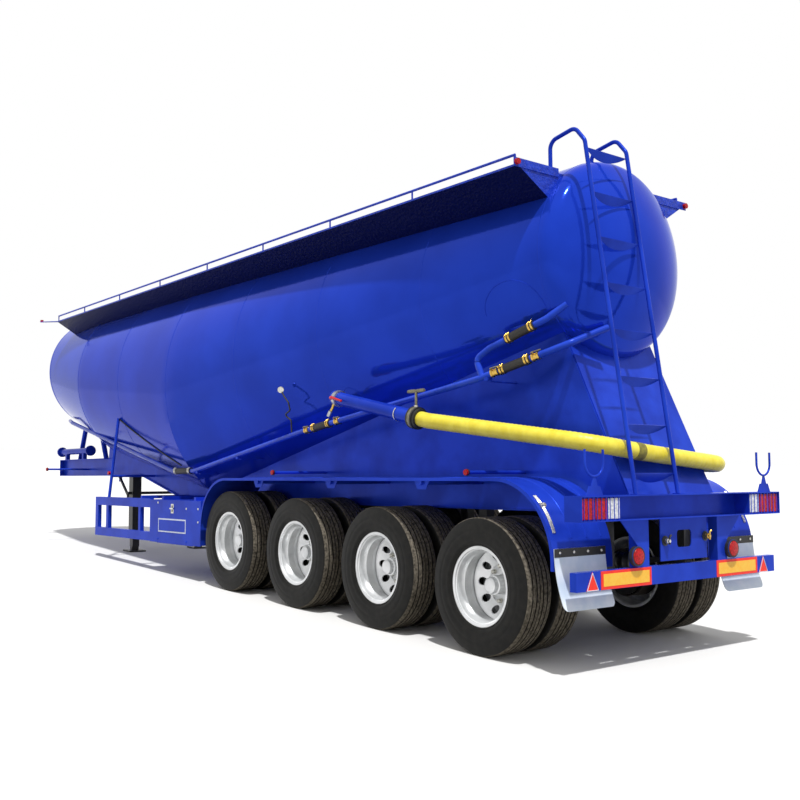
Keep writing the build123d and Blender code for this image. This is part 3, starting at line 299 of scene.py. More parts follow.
def twin_tyre(name, body, side, axle_x):
    """Two closed rings of the tyre profile; faces on the tread take the dusty rubber."""
    profile_y, profile_r = tyre_profile()
    centres = [(axle_x, side * (OUTER_TYRE_Y - inset), TYRE_RADIUS) for inset in (0.0, TWIN_SPACING)]
    rings = [turned(side * profile_y, profile_r, centre, TYRE_STEPS) for centre in centres]
    quads = closed_quads(np.arange(2 * len(profile_y) * TYRE_STEPS).reshape(2, -1, TYRE_STEPS))
    if side < 0:
        quads = quads[:, ::-1]
    on_tread = (profile_r > TREAD_FROM) & (np.roll(profile_r, -1) > TREAD_FROM)
    piece = mesh_object(name, np.concatenate(rings).reshape(-1, 3), quads.tolist(), side_rubber, body, 35.0)
    piece.data.materials.append(tread_rubber)
    slots = np.tile(np.repeat(on_tread, TYRE_STEPS), 2).astype(np.int32)
    piece.data.polygons.foreach_set("material_index", slots)
    return piece


SIDES = (("left", 1), ("right", -1))
WHEEL_STATIONS = [(f"{side_name}_{axle + 1}", side, REAR_AXLE_X + axle * AXLE_PITCH)
                  for side_name, side in SIDES for axle in range(AXLE_COUNT)]
for station, side, axle_x in WHEEL_STATIONS:
    tyres = twin_tyre(f"tyre_pair_{station}", f"twin_wheel_{station}", side, axle_x)
    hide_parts(f"tyres_{station}")


# Wheels: rolled steel rims with a pressed ten-stud disc, painted silver. The twin pair is bolted
# back to back on a turned hub that carries the brake drum, with zinc plated nuts.
HAND_HOLES = 10
HAND_HOLE_RADIUS = 32.0
HAND_HOLE_CIRCLE = 214.0
STUD_COUNT = 10
STUD_CIRCLE = 143.0
NUT_RADIUS = 17.0
NUT_DEPTH = 28.0
DISC_FACE_Y = OUTER_TYRE_Y - TWIN_SPACING / 2
DISC_THICKNESS = 11.0
DISC_BAND = (172.0, 276.0)
# columns: distance along the axle, radius; the plate and hub rows count from the disc's face
PLATE_ROWS = [(12, 80), (12, 173), (-12, 173), (-12, 80)]
HUB_ROWS = [(12, 82), (34, 82), (40, 76), (118, 70), (122, 76), (138, 76), (142, 66), (176, 60), (184, 48),
            (184, 1), (20, 1), (12, 20)]
DRUM_ROWS = [(560, 208), (745, 208), (745, 84), (731, 84), (731, 194), (560, 194)]

silver_enamel = new_finish("silver_wheel_enamel", "#f0f1f2", "#d9dbdc", 0.3, metallic=0.55,
                           grain_mm=160.0, bump=0.05, bump_mm=6.0)
zinc_plate = new_finish("zinc_plated_steel", "#d9d8d2", "#b9b6aa", 0.34, metallic=1.0,
                        grain_mm=8.0)
drum_iron = new_finish("brown_cast_iron_drum", "#3a332d", "#27211c", 0.75, grain_mm=18.0,
                       bump=0.2, bump_mm=4.0)


def disc_height(radius):
    """Bulge of the pressed disc over its mounting face: flat, round bend, cone, round bend."""
    return np.interp(radius, [85.0, 166.0, 178.0, 262.0, 276.0], [12.0, 12.0, 18.0, 78.0, 84.0])


def holed_disc(centre, lean, thickness):
    """Disc with its hand holes: in each sector rows run from the hole's circle to the sector's edge."""
    steps, rows = 10, 5
    sector = 2 * math.pi / HAND_HOLES
    low, high = DISC_BAND
    corner = np.linspace(0.0, 1.0, steps, endpoint=False)
    across = np.concatenate([2 * corner - 1, np.ones(steps), 1 - 2 * corner, -np.ones(steps)])
    along = np.concatenate([-np.ones(steps), 2 * corner - 1, np.ones(steps), 1 - 2 * corner])
    edge_turn = across * sector / 2
    edge_radius = (low + high) / 2 + along * (high - low) / 2
    bearing = np.arctan2(edge_radius - HAND_HOLE_CIRCLE, edge_turn * HAND_HOLE_CIRCLE)
    hole_turn = HAND_HOLE_RADIUS * np.cos(bearing) / HAND_HOLE_CIRCLE
    hole_radius = HAND_HOLE_CIRCLE + HAND_HOLE_RADIUS * np.sin(bearing)
    share = np.linspace(0.0, 1.0, rows)[:, None]
    turn = hole_turn + (edge_turn - hole_turn) * share
    radius = hole_radius + (edge_radius - hole_radius) * share
    turn = turn[None] + (np.arange(HAND_HOLES) * sector)[:, None, None]
    radius = np.repeat(radius[None], HAND_HOLES, axis=0)
    height = disc_height(radius)
    sheets = []
    count = 4 * steps
    for level in (0.0, -thickness):
        x = centre[0] + radius * np.cos(turn)
        y = centre[1] + lean * (height + level)
        z = centre[2] + radius * np.sin(turn)
        sheets.append(np.stack([x, y, z], axis=-1).reshape(-1, 3))
    total = HAND_HOLES * rows * count
    index = np.arange(total).reshape(HAND_HOLES, rows, count)
    top = bands(index[:, :-1], index[:, 1:]).reshape(-1, 4)
    rim = index[:, 0]
    wall = bands(rim + total, rim).reshape(-1, 4)
    edge = index[:, -1]
    after = np.roll(edge, -1, axis=1)
    outside = np.stack([edge, edge + total, after + total, after], axis=-1)
    outside = np.concatenate([outside[:, :steps], outside[:, 2 * steps:3 * steps]]).reshape(-1, 4)
    quads = np.concatenate([top, top[:, ::-1] + total, wall, outside])
    if lean < 0:
        quads = quads[:, ::-1]
    return np.concatenate(sheets), quads


def closed_turning(rows, centre, side, turns=96):
    """A closed half section (y from the middle plane, radius) turned about the axle."""
    rows = np.asarray(rows, float)
    points = turned(side * rows[:, 0], rows[:, 1], centre, turns) * 1000.0
    quads = closed_quads(np.arange(len(rows) * turns).reshape(len(rows), turns))
    return points.reshape(-1, 3), quads[:, ::-1] if side < 0 else quads


def rim_rows(middle, out):
    """Half section of a rim: rolled flange, bead seat, step, well and inner flange, 8 mm thick."""
    outer = [(119, 306), (117, 312), (110, 314), (106, 309), (110, 300), (108, 288), (60, 286), (30, 268),
             (-34, 268), (-60, 286), (-108, 288), (-110, 300), (-106, 309), (-110, 314), (-117, 312),
             (-119, 306)]
    inner = [(-119, 304), (-117, 282), (-62, 277), (-36, 260), (32, 260), (58, 277), (100, 279), (104, 284),
             (117, 287), (119, 300)]
    return [(middle + out * y, r) for y, r in outer + inner]


def joined(name, parts, finish, body):
    """One mesh from (vertices in mm, quads) parts."""
    starts = np.cumsum([0] + [len(points) for points, _ in parts])
    faces = np.concatenate([quads + start for (_, quads), start in zip(parts, starts)]).tolist()
    points = np.concatenate([points for points, _ in parts]) / 1000.0
    return mesh_object(name, points, faces, finish, body, 32.0)


def nut_ring(body_y, side, axle_x):
    """Hexagonal prisms with a domed end, set evenly on the stud circle against the disc."""
    turn = np.linspace(0.0, 2 * math.pi, STUD_COUNT, endpoint=False)
    corner = np.linspace(0.0, 2 * math.pi, 6, endpoint=False)
    levels = np.array([(0.0, 1.3), (5.0, 1.3), (5.5, 1.0), (NUT_DEPTH, 1.0), (NUT_DEPTH + 3, 0.75),
                       (NUT_DEPTH + 3, 0.02)])
    a = turn[:, None, None]
    radius = NUT_RADIUS * levels[None, :, 1:2]
    spread = a + corner[None, None, :]
    x = axle_x + STUD_CIRCLE * np.cos(a) + radius * np.cos(spread)
    z = TYRE_RADIUS + STUD_CIRCLE * np.sin(a) + radius * np.sin(spread)
    y = np.broadcast_to(side * (body_y + levels[None, :, 0:1]), x.shape)
    index = np.arange(x.size).reshape(x.shape)
    low, high = index[:, :-1], index[:, 1:]
    quads = bands(low, high).reshape(-1, 4)
    foot, tip = index[:, 0], index[:, -1]
    quads = np.concatenate([quads, foot[:, :4], foot[:, [0, 3, 4, 5]], tip[:, 3::-1], tip[:, [5, 4, 3, 0]]])
    return np.stack([x, y, z], axis=-1).reshape(-1, 3), quads if side > 0 else quads[:, ::-1]


for station, side, axle_x in WHEEL_STATIONS:
    body_name = f"twin_wheel_{station}"
    centre = (axle_x, 0.0, TYRE_RADIUS)
    parts = [closed_turning(rim_rows(OUTER_TYRE_Y, 1), centre, side),
             closed_turning(rim_rows(OUTER_TYRE_Y - TWIN_SPACING, -1)[::-1], centre, side),
             closed_turning([(DISC_FACE_Y + y, r) for y, r in PLATE_ROWS], centre, side),
             closed_turning([(DISC_FACE_Y + y, r) for y, r in HUB_ROWS[::-1]], centre, side, 64)]
    for lean in (side, -side):
        parts.append(holed_disc((axle_x, side * DISC_FACE_Y, TYRE_RADIUS), lean, DISC_THICKNESS))
    wheel = joined(f"wheel_pair_{station}", parts, silver_enamel, body_name)
    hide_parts(f"wheel_{station}")
    joined(f"brake_drum_{station}", [closed_turning(DRUM_ROWS[::-1], centre, side)], drum_iron, body_name)
    joined(f"wheel_nuts_{station}", [nut_ring(DISC_FACE_Y + 12, side, axle_x)], zinc_plate, body_name)


# Axles, leaf springs, hangers, landing legs and feet: steel tube, spring leaves and pressed plate
# in black chassis enamel, half gloss and a little dusty, bolted or welded under the frame.
black_enamel = new_finish("black_chassis_enamel", "#1d1d1f", "#111113", 0.45, coat=0.15,
                          grain_mm=70.0, bump=0.06, bump_mm=5.0)
for node_name in ("axles", "leaf_springs", "spring_hangers", "landing_legs", "leg_feet"):
    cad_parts[node_name].data.materials[0] = black_enamel


# Discharge hose: yellow covered suction hose with a fine rib from the wire wound inside it, held
# by the frame on its way round the rear. A darker olive band behind the ladder is painted shadow.
hose_yellow = new_finish("yellow_pvc_hose", "#f4e44c", "#e7d436", 0.4, grain_mm=90.0,
                         bump=0.08, bump_mm=10.0)
OUTLET_Y = 1075.0
OUTLET_FRONT = np.array([2010.0, OUTLET_Y, 2110.0])
OUTLET_REAR = np.array([900.0, OUTLET_Y, 1880.0])
OUT_RUN = (OUTLET_REAR - OUTLET_FRONT) / np.linalg.norm(OUTLET_REAR - OUTLET_FRONT)
HOSE_START = OUTLET_REAR + OUT_RUN * 70.0
HOSE_ROUTE = np.array([
    HOSE_START,
    HOSE_START + OUT_RUN * 120.0,
    (-905.0, 880.0, 1612.0),
    (-915.0, 250.0, 1545.0),
    (-925.0, -800.0, 1455.0),
    (1000.0, -800.0, 1530.0),
])
HOSE_RADIUS = 65.0
HOSE_RIB = 1.3
HOSE_RIB_PITCH = 42.0
HOSE_BEND = 240.0
HOSE_RINGS = 420


def rounded_route(corners, bend, arc_steps=10):
    """Straight runs with each corner replaced by the tangent arc of radius bend."""
    corners = np.asarray(corners, float)
    points = [corners[0]]
    for before, corner, after in zip(corners, corners[1:], corners[2:]):
        d0 = (corner - before) / np.linalg.norm(corner - before)
        d1 = (after - corner) / np.linalg.norm(after - corner)
        angle = math.acos(float(np.clip(d0 @ d1, -1.0, 1.0)))
        if angle < 1e-4:
            continue
        cut = bend * math.tan(angle / 2)
        start = corner - d0 * cut
        inward = d1 - d0 * (d0 @ d1)
        inward /= np.linalg.norm(inward)
        t = np.linspace(0.0, angle, arc_steps)[:, None]
        points += list(start + d0 * bend * np.sin(t) + inward * bend * (1.0 - np.cos(t)))
    points.append(corners[-1])
    return np.array(points)


def run_along(path):
    """Distance along the path at each of its points."""
    return np.concatenate([[0.0], np.cumsum(np.linalg.norm(np.diff(path, axis=0), axis=1))])


def carried_rings(path, profile, turns):
    """Rings about a path: profile rows are distance along the path and radius there."""
    path, profile = np.asarray(path, float), np.asarray(profile, float)
    along = run_along(path)
    tangent = np.gradient(path, along, axis=0)
    tangent /= np.linalg.norm(tangent, axis=1)[:, None]
    centre = np.stack([np.interp(profile[:, 0], along, path[:, k]) for k in range(3)], axis=1)
    heading = np.stack([np.interp(profile[:, 0], along, tangent[:, k]) for k in range(3)], axis=1)
    heading /= np.linalg.norm(heading, axis=1)[:, None]
    reference = (1.0, 0.0, 0.0) if np.abs(heading[:, 2]).max() > 0.999 else (0.0, 0.0, 1.0)
    side = np.cross(heading, reference)
    side /= np.linalg.norm(side, axis=1)[:, None]
    up = np.cross(side, heading)
    t = np.linspace(0.0, 2 * math.pi, turns, endpoint=False)
    ring = side[:, None, :] * np.cos(t)[None, :, None] + up[:, None, :] * np.sin(t)[None, :, None]
    return centre[:, None, :] + ring * profile[:, 1][:, None, None]


def ring_piece(name, path, rows, finish, turns, body="trailer", hollow=False, sharp=40.0):
    """A round piece about a path in mm, by rows of distance along it and radius."""
    return surface_object(name, parked(carried_rings(path, rows, turns)), finish, body, hollow, sharp)


hose_path = rounded_route(HOSE_ROUTE, HOSE_BEND, 14)
hose_along = np.linspace(0.0, run_along(hose_path)[-1], HOSE_RINGS)
hose_radius = HOSE_RADIUS + HOSE_RIB * np.sin(2 * math.pi * hose_along / HOSE_RIB_PITCH)
hose = ring_piece("yellow_discharge_hose", hose_path, np.stack([hose_along, hose_radius], axis=1),
                  hose_yellow, 36, sharp=50.0)
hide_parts("discharge_hose")

# An olive band a little proud of the hose behind the ladder: painted shadow.
hose_shadow_olive = new_finish("olive_painted_hose_shadow", "#8d8430", "#6f6826", 0.6, grain_mm=30.0,
                        bump=0.1, bump_mm=5.0)
ring_piece("hose_painted_shadow", hose_path, [(2150, 64), (2151, 68), (2240, 68), (2241, 64)], hose_shadow_olive,
           36, hollow=True)


# Air pipe: blown-air line in blue painted tube along the left side, joined by black rubber
# sleeves that are held by band clamps, brass coloured at the rear and zinc at the front.
PIPE_RADIUS = 28.0
PIPE_BEND = 120.0
BRANCH_BEND = 60.0
# columns: x, inset from the tank's widest line, z
PIPE_ROWS = [
    (10330.0, 342.0, 2290.0),
    (9700.0, 214.0, 2225.0),
    (5750.0, 242.0, 1450.0),
    (5180.0, 230.0, 1450.0),
    (2890.0, 105.0, 1830.0),
    (300.0, -10.0, 2172.0),
]
PIPE_ROUTE = np.array([(x, station_at(x)[0] - inset, z) for x, inset, z in PIPE_ROWS]
                      + [(-470.0, 640.0, 2400.0), (-590.0, 300.0, 2545.0)])
BRANCH_ROUTE = np.array([
    0.95 * PIPE_ROUTE[5] + 0.05 * PIPE_ROUTE[6],
    (330.0, 870.0, 2340.0),
    (200.0, 840.0, 2420.0),
    (-330.0, 725.0, 2610.0),
    (-470.0, 640.0, 2720.0),
])
# columns: route, its run, start share, end share
SLEEVES = [(PIPE_ROUTE, 2, 0.10, 0.85), (PIPE_ROUTE, 4, 0.08, 0.20), (PIPE_ROUTE, 5, 0.25, 0.60),
           (BRANCH_ROUTE, 2, 0.3, 0.8)]

# The pipe's gloss is tinted blue: a painted reflection of blue sky.
pipe_enamel = new_finish("blue_pipe_enamel", "#2c4ed0", "#2443bc", 0.25, grain_mm=200.0,
                         ior=1.45, sky_reflection_tint="#6a84ff")
sleeve_rubber = new_finish("black_sleeve_rubber", "#26231f", "#171513", 0.55, grain_mm=20.0,
                           bump=0.15, bump_mm=3.0)
brass_clamp = new_finish("brass_band_clamp", "#e2c06a", "#b8933f", 0.3, metallic=1.0,
                         grain_mm=6.0)


def tube_piece(name, path, radius, finish, turns=24, body="trailer"):
    """A round tube of one radius along a path, closed at both ends."""
    rows = np.column_stack([run_along(path), np.full(len(path), radius)])
    return ring_piece(name, path, rows, finish, turns, body, sharp=50.0)


main_pipe = tube_piece("air_pipe_tube", rounded_route(PIPE_ROUTE, PIPE_BEND), PIPE_RADIUS, pipe_enamel)
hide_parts("air_pipe")
tube_piece("air_pipe_branch", rounded_route(BRANCH_ROUTE, BRANCH_BEND), PIPE_RADIUS - 1.0, pipe_enamel)


def between(route, run, share):
    """Point on a straight run of a route."""
    return route[run] + (route[run + 1] - route[run]) * share


sleeve_ends = [(between(route, run, first), between(route, run, last)) for route, run, first, last in SLEEVES]
for number, ends in enumerate(sleeve_ends):
    length = run_along(ends)[-1]
    heading = (ends[1] - ends[0]) / length
    rows = [(0, 29), (0.5, 36), (6, 38), (length - 6, 38), (length - 0.5, 36), (length, 29)]
    sleeve = ring_piece(f"air_sleeve_{number}", ends, rows, sleeve_rubber, 28, hollow=True)
    if number == 0:
        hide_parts("air_sleeves")
    metal = zinc_plate if number == 0 else brass_clamp
    for order, at in enumerate((18.0, 44.0, length - 44.0, length - 18.0)):
        band = [(at - 8, 37), (at - 7.5, 41), (at - 2, 42.5), (at + 2, 42.5), (at + 7.5, 41), (at + 8, 37)]
        ring_piece(f"sleeve_clamp_{number}_{order}", ends, band, metal, 28, hollow=True)
        screw = ends[0] + heading * at + (0, 30, 30)
        tube_piece(f"clamp_screw_{number}_{order}", [screw - (0, 12, -12), screw + (0, 14, -14)], 5.0,
                   metal, 8)


# Lamps and reflectors: moulded acrylic lenses in black housings. The marker lamps are plain red,
# and the rear clusters show two red bays and a clear one behind the slats.
red_lens = new_finish("red_acrylic_lens", "#cc0a18", "#920610", 0.2, grain_mm=14.0, bump=0.25,
                      bump_mm=8.0, ior=1.3)
clear_lens = new_finish("clear_acrylic_lens", "#eef0f4", "#b9bcc8", 0.15, coat=0.5, grain_mm=14.0,
                        bump=0.3, bump_mm=8.0)
amber_panel = new_finish("amber_reflective_sheet", "#ffc844", "#ffbe34", 0.45, grain_mm=25.0,
                         bump=0.05, bump_mm=4.0)
rim_white = new_finish("pale_sign_rim", "#dfe6f4", "#cfd8ea", 0.4, grain_mm=40.0)
red_panel = new_finish("red_reflective_sheet", "#ff2c14", "#f6240e", 0.45, grain_mm=25.0,
                       bump=0.05, bump_mm=4.0)
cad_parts["marker_lamps"].data.materials[0] = red_lens
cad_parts["reflector_plates"].data.materials[0] = red_panel
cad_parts["rear_lamps"].data.materials[0] = blue_frame_enamel


def slab(name, x0, x1, y0, y1, z0, z1, finish, chamfer=2.0, body="trailer"):
    """A level block in body mm. Its edges are cut: each corner has one point on each of its faces."""
    low, high = np.sort([(x0, y0, z0), (x1, y1, z1)], axis=0)
    far = np.indices((2, 2, 2)).reshape(3, 8).T
    points = np.where(np.eye(3, dtype=bool), np.where(far, high, low)[:, None],
                      np.where(far, high - chamfer, low + chamfer)[:, None])
    faces = [[3 * n, 3 * n + 1, 3 * n + 2][::1 if far[n].sum() % 2 else -1] for n in range(8)]
    steps = (12, 6, 3)
    for k, a, b in ((0, 1, 2), (1, 2, 0), (2, 0, 1)):
        corners = [0, steps[a], steps[a] + steps[b], steps[b]]
        faces.append([n + k for n in corners[::-1]])
        faces.append([n + k + steps[k] for n in corners])
        for n, turn in zip(corners, (1, -1, 1, -1)):
            faces.append([n + a, n + b, n + b + steps[k], n + a + steps[k]][::turn])
    return mesh_object(name, parked(points.reshape(-1, 3)), faces, finish, body)


BEAM_REAR_X = -1109.0
BUMPER_REAR_X = -1044.0
LAMP_INNER_Y = 811.0
LAMP_OUTER_Y = 1225.0
LENS_GAP = 7.0
LENS_FOOT_Z = 1070.0
LENS_TOP_Z = 1217.0
PLATE_BORDER = 21.0
TRIANGLE_Y = 1065.0
ROUND_LAMP_Y = 596.0
ROUND_LAMP_Z = 790.0
MARKER_Y = 1172.0
# columns: x, z
MARKER_PLACES = [(9570.0, 1501.0), (3020.0, 1418.0), (114.0, 1405.0)]
black_rubber = new_finish("black_moulded_rubber", "#1b1b1b", "#101010", 0.55, grain_mm=20.0,
                          bump=0.1, bump_mm=3.0)


def round_stack(name, place, heading, rows, finish, turns=32, body="trailer"):
    """A turned piece: rows of distance along heading from place and radius, ends closed."""
    reach = max(at for at, _ in rows) + 1.0
    path = [np.asarray(place, float), np.asarray(place) + np.asarray(heading, float) * reach]
    return ring_piece(name, path, rows, finish, turns, body, sharp=35.0)


for side_name, side in SIDES:
    span = (LAMP_OUTER_Y - LAMP_INNER_Y) / 3
    for bay, finish in enumerate((clear_lens, red_lens, red_lens)):
        y0 = LAMP_INNER_Y + bay * span
        slab(f"rear_lens_{side_name}_{bay}", BEAM_REAR_X + 11, BEAM_REAR_X + 16.5, side * (y0 + LENS_GAP),
             side * (y0 + span - LENS_GAP), LENS_FOOT_Z, LENS_TOP_Z, finish, 3.0)
    slab(f"amber_panel_{side_name}", BUMPER_REAR_X - 4.6, BUMPER_REAR_X - 3.0, side * 436.0, side * 949.0,
         573.5 + PLATE_BORDER, 703.5 - PLATE_BORDER, amber_panel, 0.5)
    corners = [(BUMPER_REAR_X - 3.5, side * TRIANGLE_Y + dy, z)
               for dy, z in ((-60, 576), (60, 576), (0, 697))]
    for edge in range(3):
        tube_piece(f"triangle_rim_{side_name}_{edge}", [corners[edge], corners[(edge + 1) % 3]], 2.6,
                   rim_white, 8)
    place = (BUMPER_REAR_X, side * ROUND_LAMP_Y, ROUND_LAMP_Z)
    round_stack(f"round_lamp_housing_{side_name}", place, (-1, 0, 0),
                [(1, 73), (30, 73.5), (38, 70), (40, 64), (37, 60)], black_rubber)
    round_stack(f"round_lamp_lens_{side_name}", place, (-1, 0, 0),
                [(36.5, 60), (41, 57), (44, 40), (45, 1)], red_lens)
    for x, z in MARKER_PLACES:
        round_stack(f"marker_cup_{side_name}_{x:.0f}", (x, side * MARKER_Y, z), (0, side, 0),
                    [(0, 15), (1, 27), (13, 28), (14, 24.4)], black_rubber, 24)


# Mudflaps: pale blue plastic sheets cut with round corners and swept back at the foot, hung under
# a black steel strip with four zinc bolts. The sheets are left blank.
flap_plastic = new_finish("pale_flap_plastic", "#eaf3fc", "#d6e5f3", 0.45, grain_mm=150.0,
                          bump=0.05, bump_mm=12.0)
strip_steel = new_finish("black_clamp_strip", "#141414", "#0c0c0c", 0.5, grain_mm=20.0)
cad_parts["flap_strips"].data.materials[0] = strip_steel
FLAP_X = -840.0
FLAP_TOP = 860.0
FLAP_DROP = 430.0
FLAP_MIDDLE_Y = 962.5
FLAP_HALF = 272.5
FLAP_SWEEP = 95.0
FLAP_CORNER = 45.0
FLAP_WALL = 6.0
FLAP_BOLT_YS = (740.0, 888.0, 1037.0, 1185.0)
FLAP_BOLT_Z = 832.0


def flap_sheet(name, side):
    """Closed sheet: x = swept back by the square of the drop, half width drawn in on a round corner."""
    drop = np.concatenate([np.linspace(0.0, FLAP_DROP - FLAP_CORNER, 16),
                           FLAP_DROP - FLAP_CORNER * (1.0 - np.sin(np.linspace(0.12, math.pi / 2, 9)))])
    low = np.clip((drop - (FLAP_DROP - FLAP_CORNER)) / FLAP_CORNER, 0.0, 1.0)
    half = FLAP_HALF - FLAP_CORNER * (1.0 - np.sqrt(1.0 - low**2))
    across = np.linspace(-1.0, 1.0, 15)
    back = FLAP_X - 2.0 - FLAP_SWEEP * (drop / FLAP_DROP) ** 2
    sheets = []
    for wall in (0.0, -FLAP_WALL):
        y = side * FLAP_MIDDLE_Y + half[:, None] * across[None, :]
        x = np.broadcast_to((back + wall)[:, None], y.shape)
        z = np.broadcast_to((FLAP_TOP - drop)[:, None], y.shape)
        sheets.append(np.stack([x, y, z], axis=-1))
    loop = np.concatenate([sheets[0], sheets[1][:, ::-1]], axis=1)
    return surface_object(name, parked(loop), flap_plastic)


flaps = [flap_sheet(f"mudflap_sheet_{side_name}", side) for side_name, side in SIDES]
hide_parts("mudflaps")
for _, side in SIDES:
    for number, y in enumerate(FLAP_BOLT_YS):
        round_stack(f"flap_bolt_{number}_{side}", (FLAP_X - 12.5, side * y, FLAP_BOLT_Z), (-1, 0, 0),
                    [(0, 11), (5, 11), (8, 7), (9, 1)], zinc_plate, 12)


# Fender skins: three pressed ribs run the length of each skin and down its rear curve, and a
# polished steel stay strap with a clamp holds the outer edge.
FENDER_TOP_Z = 1363.0
FENDER_REAR_X = -240.0
FENDER_BEND = 600.0
FENDER_RIB_YS = (700.0, 860.0, 1020.0)
FENDER_RIB_FRONT_X = 3900.0
STRAP_Y = 1176.0
STRAP_STEP = 8.0
polished_steel = new_finish("polished_strap_steel", "#e6e6e4", "#bdbcb6", 0.22,
                            metallic=1.0, grain_mm=12.0)


def fender_line(y, rise, first, last, front_x=None):
    """Line on the fender: level from front_x, then the rear arc between two angles from upright."""
    turn = np.radians(np.linspace(first, last, 22))
    arc = np.stack([FENDER_REAR_X - (FENDER_BEND + rise) * np.sin(turn), np.full_like(turn, y),
                    FENDER_TOP_Z - FENDER_BEND + (FENDER_BEND + rise) * np.cos(turn)], axis=1)
    if front_x is None:
        return arc
    return np.concatenate([[(front_x, y, FENDER_TOP_Z + rise)], arc])


for side_name, side in SIDES:
    for number, y in enumerate(FENDER_RIB_YS):
        line = fender_line(side * y, -3.0, 0.0, 74.0, FENDER_RIB_FRONT_X)
        tube_piece(f"fender_rib_{side_name}_{number}", line, 8.0, blue_frame_enamel, 12)
    for edge in range(4):
        line = fender_line(side * (STRAP_Y + STRAP_STEP * edge), 3.0, 39.0, 70.0)
        tube_piece(f"fender_strap_{side_name}_{edge}", line, 5.0, polished_steel, 8)
    at = fender_line(side * 1188.0, 4.0, 48.5, 49.5)[0]
    round_stack(f"fender_strap_clamp_{side_name}", at - (0, side * 26.0, 0), (0, side, 0),
                [(0, 8), (1, 20), (12, 21), (13, 14), (38, 14), (39, 21), (50, 20), (51, 8)], zinc_plate, 20)


# Air couplings: a dark charging connector and a brass one with its turning tap, each screwed
# through the centre plate between the posts.
for name, y, z, tap, spindle in (("dark", 238.0, 885.0, strip_steel, zinc_plate),
                                 ("brass", -268.0, 902.0, brass_clamp, brass_clamp)):
    foot = (BUMPER_REAR_X, y, z)
    round_stack(f"coupling_flange_{name}", foot, (-1, 0, 0), [(0, 38), (5, 38), (7, 30), (16, 28), (18, 20)],
                strip_steel, 24)
    round_stack(f"coupling_spindle_{name}", foot, (-1, 0, 0),
                [(16, 20), (34, 20), (36, 13), (48, 12), (50, 1)], spindle, 20)
    path = [(-1082, y - 6, z - 26), (-1082, y - 6, z + 30), (-1084, y - 24, z + 44)]
    tube_piece(f"coupling_tap_{name}", path, 8.0, tap, 12)


# Tool box fittings: a blank sign plate with a pale rim, a steel T latch and cap screws, all on
# the door, so that they swing down with it.
DOOR_FACE_Y = 1200.0
# columns: x, z
DOOR_SCREWS = [(5640, 637), (4893, 630), (5640, 1070), (4890, 1010), (4600, 865), (4600, 1014)]
for side_name, side in SIDES:
    for name, x0, x1, out0, out1, z0, z1, finish in (
            ("sign_rim", 4905, 5629, 0.2, 2.4, 722, 884, rim_white),
            ("sign_face", 4921, 5613, 2.0, 3.4, 738, 868, blue_frame_enamel),
            ("latch_plate", 5216, 5284, 0.2, 5.0, 950, 1060, zinc_plate),
            ("latch_slot", 5242, 5258, 4.4, 9.0, 968, 1042, strip_steel),
            ("latch_bar", 5206, 5294, 7.0, 19.0, 998, 1014, polished_steel)):
        slab(f"{name}_{side_name}", x0, x1, side * (DOOR_FACE_Y + out0), side * (DOOR_FACE_Y + out1), z0, z1,
             finish, 0.8, f"box_door_{side_name}")
    for number, (x, z) in enumerate(DOOR_SCREWS):
        round_stack(f"door_screw_{number}_{side_name}", (x, side * DOOR_FACE_Y, z), (0, side, 0),
                    [(0, 13), (3, 13), (7, 9), (8.5, 1)], blue_frame_enamel if number < 2 else zinc_plate, 12,
                    f"box_door_{side_name}")


# Lines on the shell: a rubber covered conduit from the top of the stay down to the frame, the arc
# weld of the rear doubler plate and the round weld of the pad behind the pipe's coupler.
def on_shell(x, z, rise):
    """Points on the left of the tank at x and z, rise mm outside its ellipse."""
    half_width, half_height = station_at(x)
    fall = (z - (TANK_TOP - half_height)) / half_height
    return np.stack([x, (half_width + rise) * np.sqrt(1.0 - fall**2), z], axis=-1)


share = np.linspace(0.0, 1.0, 24)
conduit_path = on_shell(7190.0 - 1450.0 * share, 2160.0 - 640.0 * share + 60.0 * share * (share - 1.0), 9.0)
tube_piece("shell_conduit", conduit_path, 8.0, black_rubber, 12)
turn = np.linspace(0.0, math.pi, 30)
arc_path = on_shell(-10.0 + 300.0 * np.cos(turn), 2700.0 + 250.0 * np.sin(turn), 0.5)
ring_turn = np.linspace(0.0, 2 * math.pi, 48)
pad_path = on_shell(2227.0 + 130.0 * np.cos(ring_turn), 2110.0 + 130.0 * np.sin(ring_turn), 0.5)
for name, path in (("doubler_weld", arc_path), ("pad_weld", pad_path)):
    tube_piece(name, path, 4.0, blue_enamel, 8)


# Spring brake chambers: pressed steel cans, two to an axle, each bolted to a bracket that is
# welded on the axle tube.
CHAMBER_Y = 330.0
for axle in range(AXLE_COUNT):
    along = axle * AXLE_PITCH
    axle_x = along * math.cos(PARK_PITCH) - TYRE_RADIUS * math.sin(PARK_PITCH)
    axle_z = along * math.sin(PARK_PITCH) + TYRE_RADIUS * math.cos(PARK_PITCH)
    for side_name, side in SIDES:
        station = f"{side_name}_{axle + 1}"
        y = side * CHAMBER_Y
        mouth = np.array([axle_x - 86.0, y, axle_z + 120.0])
        round_stack(f"brake_chamber_{station}", mouth, (-1, 0, 0),
                    [(0, 22), (1, 62), (34, 74), (46, 84), (56, 84), (66, 76), (110, 78), (120, 84),
                     (128, 84), (138, 76), (176, 66), (186, 40), (187, 1)], black_enamel, 28)
        tube_piece(f"brake_push_rod_{station}", [mouth, mouth + (150, side * 8, -14)], 9.0, zinc_plate, 10)
        slab(f"slack_adjuster_{station}", axle_x + 46, axle_x + 78, y - 14, y + 14, axle_z - 10,
             axle_z + 130, black_enamel, 4.0)
        slab(f"chamber_bracket_{station}", axle_x - 86, axle_x - 74, y - 62, y + 62, axle_z - 20,
             axle_z + 160, black_enamel, 3.0)


